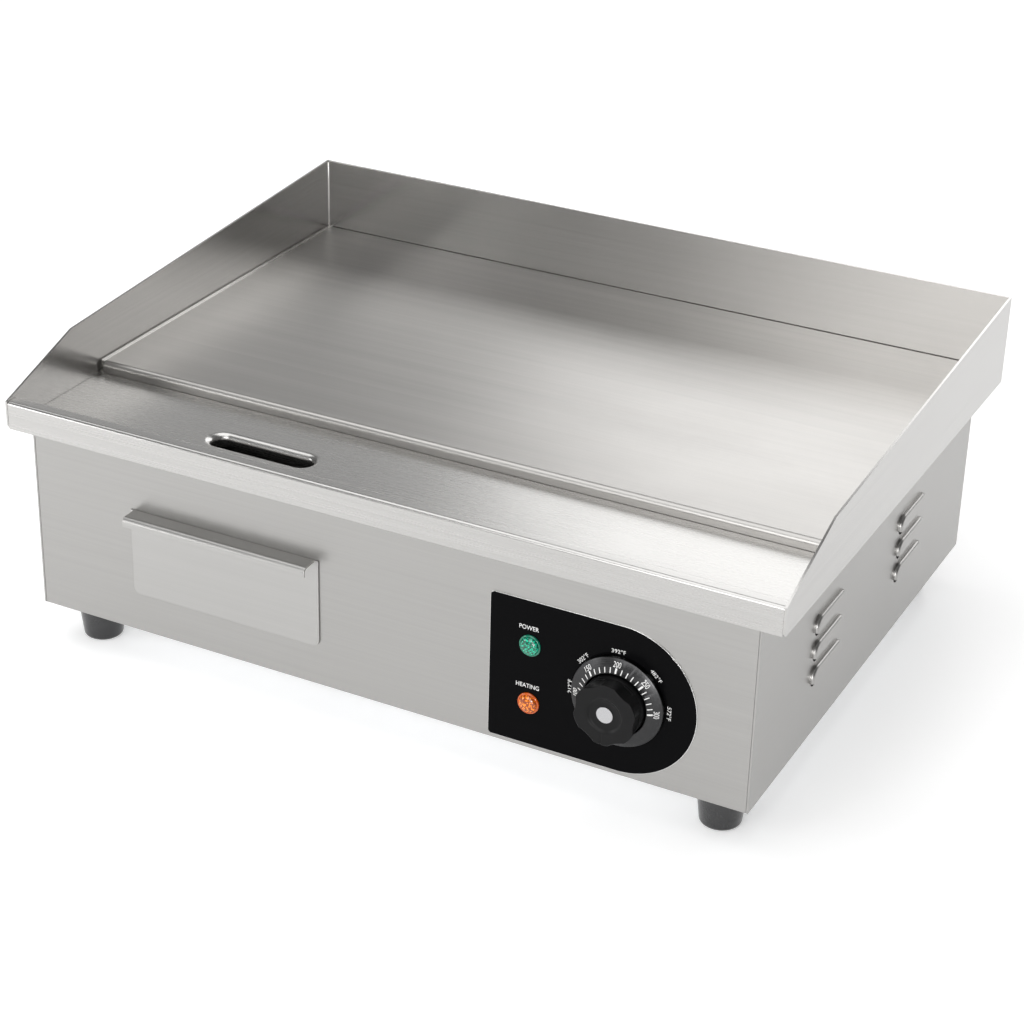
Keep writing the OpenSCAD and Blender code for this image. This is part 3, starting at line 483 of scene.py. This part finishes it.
def softened(node, material, width, body="root", segments=2, turn=30.0, smooth=60.0):
    """A merged copy of a CAD node with its sharp edges rounded, shown in its place."""
    bm = bmesh.new()
    bm.from_mesh(NODES[node].data)
    bmesh.ops.remove_doubles(bm, verts=bm.verts, dist=2e-6)
    bmesh.ops.dissolve_limit(
        bm, angle_limit=radians(0.8), use_dissolve_boundaries=False,
        verts=bm.verts, edges=bm.edges,
    )
    sharp = [
        e for e in bm.edges
        if len(e.link_faces) == 2 and e.calc_face_angle(0.0) > radians(turn)
    ]
    if sharp:
        bmesh.ops.bevel(
            bm, geom=sharp, offset=width, offset_type="OFFSET", affect="EDGES",
            segments=segments, profile=0.5, material=-1, clamp_overlap=True,
            loop_slide=True,
        )
    mesh = bpy.data.meshes.new(node + "_finished")
    bm.to_mesh(mesh)
    bm.free()
    piece = placed(
        mesh, node + "_finished", material, body, (node,), smooth
    )
    weighted = piece.modifiers.new("flat_faces", "WEIGHTED_NORMAL")
    weighted.keep_sharp = True
    weighted.weight = 90
    return piece


def painted(node, material):
    """Gives a CAD node that keeps its own shape a finish."""
    mesh = NODES[node].data
    mesh.materials.clear()
    mesh.materials.append(material)


def lettering(words, height, width, where, turn=0.0, sag=None):
    """A word as a thin raised mesh facing the front, fitted to its size and turned."""
    curve = bpy.data.curves.new(words, "FONT")
    curve.body = words
    curve.offset = -0.003
    curve.extrude = 1.0
    curve.resolution_u = 4
    holder = bpy.data.objects.new(words, curve)
    bpy.context.scene.collection.objects.link(holder)
    bpy.context.view_layer.update()
    shape = holder.evaluated_get(bpy.context.evaluated_depsgraph_get())
    mesh = bpy.data.meshes.new_from_object(shape)
    bpy.data.objects.remove(holder)
    bpy.data.curves.remove(curve)
    xs, ys = ([v.co[i] for v in mesh.vertices] for i in (0, 1))
    fit = (width / (max(xs) - min(xs)), height / (max(ys) - min(ys)), 0.02 * MM, 1.0)
    centre = ((min(xs) + max(xs)) / 2, (min(ys) + max(ys)) / 2, 0.0)
    for step in (
        Matrix.Translation(where), Matrix.Rotation(pi / 2, 4, "X"),
        Matrix.Rotation(turn, 4, "Z"), Matrix.Diagonal(fit),
        Matrix.Translation(-Vector(centre)),
    )[::-1]:
        mesh.transform(step)
    if sag:
        for v in mesh.vertices:
            v.co.y += sag(hypot(v.co.x - DIAL.x, v.co.z - DIAL.z))
    return mesh


def joined(meshes, name):
    """One mesh from several, which are then removed."""
    bm = bmesh.new()
    for mesh in meshes:
        bm.from_mesh(mesh)
        bpy.data.meshes.remove(mesh)
    mesh = bpy.data.meshes.new(name)
    bm.to_mesh(mesh)
    bm.free()
    return mesh


def rod(bm, a, b, r, segments=16):
    """A round bar between two points, with rounded ends."""
    a, b = Vector(a), Vector(b)
    turn = (b - a).to_track_quat("Z", "Y").to_matrix().to_4x4()
    made = bmesh.ops.create_cone(
        bm, cap_ends=True, segments=segments, radius1=r, radius2=r,
        depth=(b - a).length,
        matrix=Matrix.Translation((a + b) / 2) @ turn,
    )
    ends = {e for v in made["verts"] for e in v.link_edges
            if e.calc_face_angle(0.0) > radians(60)}
    bmesh.ops.bevel(
        bm, geom=list(ends), offset=r * 0.5, offset_type="OFFSET", affect="EDGES",
        segments=2, profile=0.5, material=-1,
    )


# ---------- the pieces ----------


class Maker:
    """What every operator of the griddle shares."""

    bl_options = {"REGISTER", "UNDO"}

    def execute(self, context):
        """Makes the piece and checks that something was made."""
        before = len(bpy.data.materials)
        self.make(context.scene)
        if len(bpy.data.materials) == before:
            raise RuntimeError(self.bl_idname + " made nothing")
        return {"FINISHED"}


class GRIDDLE_OT_deck(Maker, bpy.types.Operator):
    """Deck with its rolled lip, the three splash guards and their corner welds"""

    bl_idname = "griddle.deck"
    bl_label = "Deck and guards"

    def make(self, scene):
        s = scene.griddle_sheet
        across = brushed_steel("deck_steel", tuple(s.deck), "x", 0.27, 0.16, 0.08)
        back = brushed_steel("guard_steel_long", tuple(s.deck), "x", 0.21, 0.12, 0.08)
        deep = brushed_steel("guard_steel_deep", tuple(s.deck), "y", 0.23, 0.12, 0.08)
        softened("deck_tray", across, s.edge)
        softened("splash_guard_rear", back, s.edge)
        softened("splash_guard_left", deep, s.edge)
        softened("splash_guard_right", deep, s.edge)
        weld = satin_metal("dressed_weld", (0.80, 0.79, 0.77), 0.22, 700.0)
        low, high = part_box("splash_guard_rear")
        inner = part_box("splash_guard_left")[1].x
        bm = bmesh.new()
        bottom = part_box("griddle_plate")[0].z
        for x in (inner, -inner):
            rod(bm, (x, low.y, bottom), (x, low.y, high.z - s.weld_r), s.weld_r * 0.8)
        finished(bm, "guard_corner_welds", weld)


class GRIDDLE_OT_plate(Maker, bpy.types.Operator):
    """Cooking plate and the weld that seals it to the deck"""

    bl_idname = "griddle.plate"
    bl_label = "Cooking plate"

    def make(self, scene):
        s = scene.griddle_sheet
        softened("griddle_plate", ground_plate("ground_plate", tuple(s.plate)), s.edge)
        weld = satin_metal("plate_weld", (0.80, 0.79, 0.77), 0.24, 500.0)
        softened("plate_weld_seam", weld, s.edge * 0.6)


class GRIDDLE_OT_case(Maker, bpy.types.Operator):
    """Casing panels, base and their screws"""

    bl_idname = "griddle.case"
    bl_label = "Casing"

    def make(self, scene):
        s = scene.griddle_sheet
        across = brushed_steel("case_steel_across", tuple(s.case), "x", 0.33, 0.14, 0.06)
        deep = brushed_steel("case_steel_deep", tuple(s.case), "y", 0.33, 0.14, 0.06)
        zinc = satin_metal("zinc_sheet", (0.72, 0.73, 0.74), 0.32, 300.0)
        screw = satin_metal("screw_zinc", (0.75, 0.75, 0.74), 0.26)
        for node in ("front_panel", "rear_panel"):
            softened(node, across, s.edge * 0.8)
        for node in ("side_panel_left", "side_panel_right"):
            softened(node, deep, s.edge * 0.6)
        softened("base_plate", zinc, s.edge * 0.6)
        for node in ("rear_screws", "base_screws", "foot_screws"):
            softened(node, screw, 0.15 * MM)


class GRIDDLE_OT_feet(Maker, bpy.types.Operator):
    """Four moulded feet"""

    bl_idname = "griddle.feet"
    bl_label = "Feet"

    def make(self, scene):
        rubber = moulded(
            "foot_rubber", (0.016, 0.016, 0.017), 0.26, 900.0, 0.00003, Coat_Weight=0.3
        )
        for end in ("front", "rear"):
            for side in ("left", "right"):
                softened(f"foot_{end}_{side}", rubber, 0.5 * MM)


class GRIDDLE_OT_drawer(Maker, bpy.types.Operator):
    """Grease drawer, its runners and the chute above it"""

    bl_idname = "griddle.drawer"
    bl_label = "Grease drawer"

    def make(self, scene):
        s = scene.griddle_sheet
        satin = brushed_steel("drawer_satin", tuple(s.drawer), "x", 0.36, 0.08, 0.04)
        inside = brushed_steel("drawer_inside", tuple(s.drawer), "y", 0.34, 0.12, 0.06)
        softened("drawer_front", satin, s.edge * 0.8, "drawer")
        softened("drawer_tray", inside, s.edge * 0.6, "drawer")
        softened("drain_chute", inside, s.edge * 0.6)
        zinc = satin_metal("runner_zinc", (0.70, 0.71, 0.72), 0.3, 400.0)
        for node in ("drawer_runner_left", "drawer_runner_right", "runner_bracket"):
            painted(node, zinc)


class GRIDDLE_OT_fascia(Maker, bpy.types.Operator):
    """Control fascia with its bare border, black foil and white words"""

    bl_idname = "griddle.fascia"
    bl_label = "Control fascia"

    def make(self, scene):
        d = scene.griddle_dial
        bare = satin_metal("fascia_bare_metal", (0.80, 0.80, 0.79), 0.24, 700.0)
        softened("control_fascia", bare, 0.2 * MM)
        low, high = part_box("control_fascia")
        r = (high.z - low.z) / 2 - d.border
        corners = [
            (low.x + d.border, DIAL.z - r), (DIAL.x + r, DIAL.z - r),
            (DIAL.x + r, DIAL.z + r), (low.x + d.border, DIAL.z + r),
        ]
        bm = bmesh.new()
        verts = [bm.verts.new((x, FASCIA_Y, z)) for x, z in corners]
        bm.faces.new(verts)
        rounded = ((verts[1:3], r * 0.9999, 40), ([verts[0], verts[3]], FOIL_CORNER, 6))
        for pair, offset, steps in rounded:
            bmesh.ops.bevel(
                bm, geom=pair, offset=offset, offset_type="OFFSET", affect="VERTICES",
                segments=steps, profile=0.5, material=-1,
            )
        grown = bmesh.ops.extrude_face_region(bm, geom=bm.faces[:])["geom"]
        front = [v for v in grown if isinstance(v, bmesh.types.BMVert)]
        bmesh.ops.translate(bm, verts=front, vec=(0, -d.foil, 0))
        foil = gloss_foil("fascia_foil", tuple(d.black))
        finished(bm, "fascia_foil_print", foil)
        ink = printed_white("fascia_white")
        y = FASCIA_Y - d.foil - d.ink / 2
        words = []
        for lamp, width in (("power", 13.2 * MM), ("heating", 15.7 * MM)):
            at = LAMPS[lamp] + Vector((-1.1 * MM, 0, 12.0 * MM))
            words.append(lettering(lamp.upper(), d.capital, width, (at.x, y, at.z)))
        for value, angle in ((212, 181), (302, 139), (392, 93), (482, 45), (572, 0)):
            a, reach = radians(angle), BEZEL_R + 2.5 * MM
            where = (DIAL.x + reach * cos(a), y, DIAL.z + reach * sin(a))
            words.append(lettering(f"{value}°F", d.numeral, 9.4 * MM, where, a - pi / 2))
        print_mesh = joined(words, "fascia_words")
        placed(print_mesh, "fascia_words", ink, smooth=0)


def bezel_face(r):
    """Height of the dial ring's face above the fascia at a radius."""
    crown = BEZEL_HIGH.y - BEZEL_LOW.y
    slope = (crown - RING_EDGE) / (BEZEL_R - RING_CROWN_R)
    return crown - max(0.0, r - RING_CROWN_R) * slope


def ring_tick(angle, width, thick):
    """One raised tick on the ring, as a mesh about the dial's axis, still level."""
    inner, outer = RING_TICKS
    bm = bmesh.new()
    bmesh.ops.create_cube(bm, size=1.0)
    bmesh.ops.scale(bm, verts=bm.verts, vec=(outer - inner, thick, width))
    bmesh.ops.translate(bm, verts=bm.verts, vec=((inner + outer) / 2, 0, 0))
    bmesh.ops.rotate(
        bm, verts=bm.verts, cent=(0, 0, 0), matrix=Matrix.Rotation(-angle, 3, "Y")
    )
    return bm


class GRIDDLE_OT_dial(Maker, bpy.types.Operator):
    """Dial ring with its ticks and numbers"""

    bl_idname = "griddle.dial"
    bl_label = "Dial ring"

    def make(self, scene):
        d = scene.griddle_dial
        ring = turned("dial_ring_metal", (0.048, 0.048, 0.049), DIAL, 0.28, 1.0)
        softened("dial_bezel", ring, 0.35 * MM, segments=3)
        ink = printed_white("dial_white")
        base = BEZEL_HIGH.y

        def lie(r):
            return -bezel_face(r) - d.ink / 2

        marks = []
        for i in range(21):
            width = 1.15 * MM if i % 5 == 0 else 0.6 * MM
            bm = ring_tick(radians(180 - i * 9), width, d.ink)
            for v in bm.verts:
                v.co.y += lie(hypot(v.co.x, v.co.z))
            bmesh.ops.translate(bm, verts=bm.verts, vec=(DIAL.x, base, DIAL.z))
            mesh = bpy.data.meshes.new("tick")
            bm.to_mesh(mesh)
            bm.free()
            marks.append(mesh)
        for value, angle in ((100, 180), (150, 135), (200, 90), (250, 45), (300, 0)):
            a, reach = radians(angle), RING_NUMBERS_R
            where = (DIAL.x + reach * cos(a), base, DIAL.z + reach * sin(a))
            marks.append(lettering(str(value), 3.2 * MM, 5.0 * MM, where, a - pi / 2, lie))
        placed(joined(marks, "dial_marks"), "dial_marks", ink, smooth=0)


def round_at(r):
    """Outline of a plain round section."""
    return lambda angle: r


def gripped(r, deep):
    """Outline of radius r with six shallow scoops."""
    centre = r - deep + SCOOP_R

    def radius(angle):
        a = remainder(angle - GRIP_ANGLE, GRIP_PITCH)
        side = SCOOP_R * SCOOP_R - (centre * sin(a)) ** 2
        cut = centre * cos(a) - sqrt(side) if side > 0 else r
        return min(r, cut)
    return radius


def knob_sections(face_y, back_y, soft):
    """The knob's outlines from its back to the bottom of its dish, each with its Y."""
    step_y = face_y + KNOB_GRIP
    grip_y = step_y - 1.0 * MM
    drafted = KNOB_SKIRT_R - 0.33 * MM
    sections = [
        (back_y, round_at(KNOB_SKIRT_R - 0.3 * MM)),
        (back_y - 0.3 * MM, round_at(KNOB_SKIRT_R)),
        (step_y + 0.4 * MM, round_at(KNOB_SKIRT_R)),
        (step_y, round_at(KNOB_SKIRT_R - 0.4 * MM)),
        (grip_y + 0.1 * MM, round_at(drafted)),
        (grip_y, gripped(drafted, 0.8 * MM)),
        (face_y + soft * 2, gripped(KNOB_FACE_R - 0.1 * MM, 1.5 * MM)),
    ]
    for k in range(6):
        a = k / 5 * pi / 2
        edge = gripped(KNOB_FACE_R - soft * (1 - cos(a)), 1.6 * MM)
        sections.append((face_y + soft * (1 - sin(a)), edge))
    sections.append((face_y, gripped(KNOB_FACE_R - soft - 1.0 * MM, 1.3 * MM)))
    sections.append((face_y, round_at(DISH_R + 1.0 * MM)))
    for k in range(5):
        a = k / 4
        fall = DISH * a * a * (3 - 2 * a)
        sections.append((face_y + fall, round_at(DISH_R - 2.4 * a * MM)))
    sections.append((face_y + DISH, round_at(6.5 * MM)))
    return sections


def set_section(verts, y, outline):
    """Moves a ring of vertices to Y and onto an outline about the dial's axis."""
    for v in verts:
        a = atan2(v.co.z - DIAL.z, v.co.x - DIAL.x)
        r = outline(a)
        v.co = Vector((DIAL.x + r * cos(a), y, DIAL.z + r * sin(a)))


class GRIDDLE_OT_knob(Maker, bpy.types.Operator):
    """Knob with six grip scoops and a dished face, and its satin disc"""

    bl_idname = "griddle.knob"
    bl_label = "Thermostat knob"

    def make(self, scene):
        d = scene.griddle_dial
        low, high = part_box("thermostat_knob")
        face_y, back_y = low.y, high.y
        bm = bmesh.new()
        made = bmesh.ops.create_circle(
            bm, cap_ends=False, segments=360, radius=1.0,
            matrix=Matrix.Translation(DIAL) @ Matrix.Rotation(pi / 2, 4, "X"),
        )["verts"]
        set_section(made, back_y, round_at(KNOB_SKIRT_R - 1.2 * MM))
        loop = list({e for v in made for e in v.link_edges})
        bmesh.ops.holes_fill(bm, edges=loop, sides=0)
        for y, outline in knob_sections(face_y, back_y, d.knob_round):
            new = bmesh.ops.extrude_edge_only(bm, edges=loop)["geom"]
            verts = {v for v in new if isinstance(v, bmesh.types.BMVert)}
            set_section(verts, y, outline)
            loop = [e for e in new if isinstance(e, bmesh.types.BMEdge)
                    and e.verts[0] in verts and e.verts[1] in verts]
        bmesh.ops.holes_fill(bm, edges=loop, sides=0)
        self.groove(bm, face_y + d.knob_round * 1.2)
        black = moulded(
            "knob_black", tuple(d.knob), 0.36, 1800.0, 0.000012, Specular_IOR_Level=0.16
        )
        finished(
            bm, "thermostat_knob_moulding", black, "knob",
            ("thermostat_knob",), 50.0,
        )
        cap = turned("cap_satin", (0.50, 0.50, 0.51), DIAL, 0.24, 1.0, 0.00018)
        softened("knob_cap", cap, 0.14 * MM, "knob")

    def groove(self, bm, deepest):
        """Presses the index groove into the face's edge."""
        for v in bm.verts:
            x, z = v.co.x - DIAL.x, v.co.z - DIAL.z
            along = x * cos(KNOB_INDEX) + z * sin(KNOB_INDEX)
            aside = abs(-x * sin(KNOB_INDEX) + z * cos(KNOB_INDEX))
            if along > 13.5 * MM and aside < 0.62 * MM and v.co.y < deepest:
                v.co.y += 0.6 * MM


class GRIDDLE_OT_lamps(Maker, bpy.types.Operator):
    """Lenses of the two lamps, with their prism pattern"""

    bl_idname = "griddle.lamps"
    bl_label = "Lamps"

    def make(self, scene):
        d = scene.griddle_dial
        lenses = (("power", "lens_green", d.green), ("heating", "lens_orange", d.orange))
        for which, slot, tint in lenses:
            node = which + "_lamp_lens"
            low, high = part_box(node)
            rim_r, rim_y = (high.x - low.x) / 2, high.y - LENS_RIM
            prisms = self.prisms(LAMPS[which], rim_y, rim_y - low.y, d.facets)
            clear = lens_plastic(which + "_lens", tuple(tint))
            finished(prisms, which + "_lens_prisms", clear, smooth=0)
            flange = self.flange(LAMPS[which], rim_r, high.y)
            finished(
                flange, which + "_lens_flange", lens_rim(which + "_flange", tuple(tint)),
                stands_for=(node,), smooth=50.0,
            )

    def prisms(self, at, rim_y, dome, facets):
        """Shallow faceted dome that faces the front."""
        bm = bmesh.new()
        bmesh.ops.create_icosphere(bm, subdivisions=facets, radius=1.0)
        bmesh.ops.bisect_plane(
            bm, geom=bm.verts[:] + bm.edges[:] + bm.faces[:], dist=1e-6,
            plane_co=(0, 0, 0.02), plane_no=(0, 0, 1), clear_inner=True,
        )
        sunk = 0.15 * MM
        for v in bm.verts:
            v.co = Vector((
                at.x + v.co.x * PRISMS_R,
                rim_y + sunk - v.co.z * (dome + sunk),
                at.z + v.co.y * PRISMS_R,
            ))
        return bm

    def flange(self, at, rim_r, back_y):
        """Rounded rim round the dome, spun about the lamp's axis."""
        r = PRISMS_R
        profile = [
            (r - 0.3 * MM, 0.0), (rim_r - 0.1 * MM, 0.0), (rim_r, -0.15 * MM),
            (rim_r, -0.8 * MM), (rim_r - 0.25 * MM, -1.2 * MM),
            (rim_r - 0.6 * MM, -1.42 * MM), (r + 0.1 * MM, -1.3 * MM),
            (r - 0.3 * MM, -0.9 * MM),
        ]
        bm = bmesh.new()
        verts = [bm.verts.new((at.x + px, back_y + py, at.z)) for px, py in profile]
        edges = [bm.edges.new((a, b)) for a, b in zip(verts, verts[1:] + verts[:1])]
        bmesh.ops.spin(
            bm, geom=verts + edges, cent=at, axis=(0, 1, 0), dvec=(0, 0, 0),
            angle=2 * pi, steps=64, use_merge=True,
        )
        return bm


class GRIDDLE_OT_back(Maker, bpy.types.Operator):
    """Cable gland and bonding stud at the back"""

    bl_idname = "griddle.back"
    bl_label = "Back fittings"

    def make(self, scene):
        nylon = moulded("gland_nylon", (0.022, 0.022, 0.023), 0.42, 1500.0)
        softened("cable_gland", nylon, 0.35 * MM)
        brass = satin_metal("stud_brass", (0.78, 0.60, 0.30), 0.28)
        softened("bonding_stud", brass, 0.3 * MM)
        softened("bonding_nuts", brass, 0.2 * MM)


class GRIDDLE_OT_inside(Maker, bpy.types.Operator):
    """Finishes of everything inside the casing"""

    bl_idname = "griddle.inside"
    bl_label = "Inside parts"

    def make(self, scene):
        zinc = satin_metal("inner_zinc", (0.70, 0.71, 0.72), 0.3)
        ceramic = moulded("steatite", (0.84, 0.81, 0.74), 0.5, 800.0, 0.00004)
        copper = satin_metal("bare_copper", (0.72, 0.40, 0.27), 0.3)
        brass = satin_metal("inner_brass", (0.76, 0.58, 0.30), 0.3)
        nylon = moulded("lamp_nylon", (0.80, 0.79, 0.75), 0.45)
        sheath = satin_metal("element_sheath", (0.30, 0.27, 0.25), 0.5, 260.0, 0.00006)
        finishes = {
            zinc: ("plate_studs", "stud_nuts", "element_clamp_bars", "bulb_saddle",
                   "foot_nuts", "thermostat_body", "thermostat_screws", "thermostat_shaft"),
            sheath: ("heating_element_left", "heating_element_right"),
            ceramic: ("element_terminals", "terminal_block"),
            copper: ("sensing_bulb", "capillary_tube"),
            brass: ("terminal_screws", "earth_stud"),
            nylon: ("power_lamp_body", "heating_lamp_body", "lamp_nuts"),
            moulded("phenolic", (0.16, 0.08, 0.05), 0.4): ("high_limit_cutout",),
            moulded("locknut_nylon", (0.025, 0.025, 0.026), 0.45): ("gland_locknut",),
            fibre_blanket("ceramic_fibre", (0.88, 0.87, 0.83)): ("insulation_blanket",),
            satin_metal("heat_shield", (0.72, 0.72, 0.72), 0.36, 200.0): ("insulation_tray",),
            moulded("wire_brown", (0.20, 0.09, 0.05), 0.35): ("live_wires",),
            moulded("wire_blue", (0.05, 0.16, 0.40), 0.35): ("neutral_wires",),
            moulded("wire_grey", (0.32, 0.32, 0.32), 0.35): ("lamp_wires",),
            two_tone_wire("wire_earth"): ("earth_wire",),
        }
        for material, nodes in finishes.items():
            for node in nodes:
                painted(node, material)


# ---------- stage ----------


def area_light(name, place, target, size, power, tint=(1.0, 1.0, 1.0)):
    """A soft rectangular light that looks at target."""
    data = bpy.data.lights.new(name, "AREA")
    data.shape = "RECTANGLE"
    data.size, data.size_y = size
    data.energy = power
    data.color = tint
    light = bpy.data.objects.new(name, data)
    light.location = place
    aim = Vector(target) - Vector(place)
    light.rotation_euler = aim.to_track_quat("-Z", "Y").to_euler()
    bpy.context.scene.collection.objects.link(light)
    return light


class GRIDDLE_OT_stage(Maker, bpy.types.Operator):
    """Pale floor, soft lights and the camera"""

    bl_idname = "griddle.stage"
    bl_label = "Stage"

    def make(self, scene):
        s = scene.griddle_stage
        bm = bmesh.new()
        bmesh.ops.create_grid(bm, x_segments=8, y_segments=8, size=20.0)
        mesh = bpy.data.meshes.new("floor")
        bm.to_mesh(mesh)
        bm.free()
        floor = bpy.data.objects.new("floor", mesh)
        mesh.materials.append(floor_finish("pale_floor", tuple(s.floor)))
        scene.collection.objects.link(floor)
        world = bpy.data.worlds.new("studio")
        world.use_nodes = True
        world.node_tree.nodes["Background"].inputs["Color"].default_value = (1, 1, 1, 1)
        world.node_tree.nodes["Background"].inputs["Strength"].default_value = 0.18
        scene.world = world
        scene.view_settings.view_transform = "Standard"
        area_light("overhead", (-0.4, -0.3, 2.4), (-0.1, -0.1, 0.0), (2.6, 2.2), 33.0)
        area_light("back_card", (0.33, 2.5, 1.3), (0, 0, 0.15), (3.3, 1.6), 36.0)
        area_light("back_left", (-2.1, 2.1, 1.2), (0, 0, 0.15), (1.6, 1.4), 3.0)
        area_light("front_card", (-0.08, -2.4, 1.3), (0, 0, 0.2), (1.6, 1.4), 27.0)
        area_light("dial_card", (0.95, -2.5, 0.36), (0.17, -0.2, 0.08), (0.55, 0.6), 17.0)
        area_light("low_left", (-1.5, -1.3, 0.5), (-0.3, -0.2, 0.05), (0.9, 0.6), 10.0)
        camera = bpy.data.cameras.new("camera")
        camera.lens = s.lens
        camera.sensor_width = 36.0
        camera.shift_x, camera.shift_y = 0.01714, -0.01937
        holder = bpy.data.objects.new("camera", camera)
        ahead = Vector((-sin(s.yaw) * cos(s.pitch), cos(s.yaw) * cos(s.pitch), -sin(s.pitch)))
        right = Vector((cos(s.yaw), sin(s.yaw), 0.0))
        up = right.cross(ahead)
        side = right * cos(s.roll) + up * sin(s.roll)
        top = up * cos(s.roll) - right * sin(s.roll)
        turn = Matrix((side, top, -ahead)).transposed().to_4x4()
        holder.matrix_world = Matrix.Translation(Vector(s.place)) @ turn
        scene.collection.objects.link(holder)
        scene.camera = holder


OPERATORS = (
    GRIDDLE_OT_stage, GRIDDLE_OT_deck, GRIDDLE_OT_plate, GRIDDLE_OT_case,
    GRIDDLE_OT_feet, GRIDDLE_OT_drawer, GRIDDLE_OT_fascia, GRIDDLE_OT_dial,
    GRIDDLE_OT_knob, GRIDDLE_OT_lamps, GRIDDLE_OT_back, GRIDDLE_OT_inside,
)


class GRIDDLE_PT_panel(bpy.types.Panel):
    """Lists the griddle's settings and pieces"""

    bl_idname = "GRIDDLE_PT_panel"
    bl_label = "Griddle"
    bl_space_type = "VIEW_3D"
    bl_region_type = "UI"
    bl_category = "Griddle"

    def draw(self, context):
        scene = context.scene
        for group in (scene.griddle_sheet, scene.griddle_dial, scene.griddle_stage):
            box = self.layout.box()
            for key in group.bl_rna.properties.keys():
                if key not in ("rna_type", "name"):
                    box.prop(group, key)
        for operator in OPERATORS:
            self.layout.operator(operator.bl_idname)


GROUPS = {
    "griddle_sheet": GriddleSheetSettings,
    "griddle_dial": GriddleDialSettings,
    "griddle_stage": GriddleStageSettings,
}


def register():
    for kind in (*GROUPS.values(), *OPERATORS, GRIDDLE_PT_panel):
        bpy.utils.register_class(kind)
    for name, kind in GROUPS.items():
        setattr(bpy.types.Scene, name, PointerProperty(type=kind))


def unregister():
    for name in GROUPS:
        delattr(bpy.types.Scene, name)
    for kind in reversed((*GROUPS.values(), *OPERATORS, GRIDDLE_PT_panel)):
        bpy.utils.unregister_class(kind)


def main():
    """Makes every piece."""
    register()
    for operator in OPERATORS:
        group, name = operator.bl_idname.split(".")
        getattr(getattr(bpy.ops, group), name)()


if __name__ == "__main__":
    main()
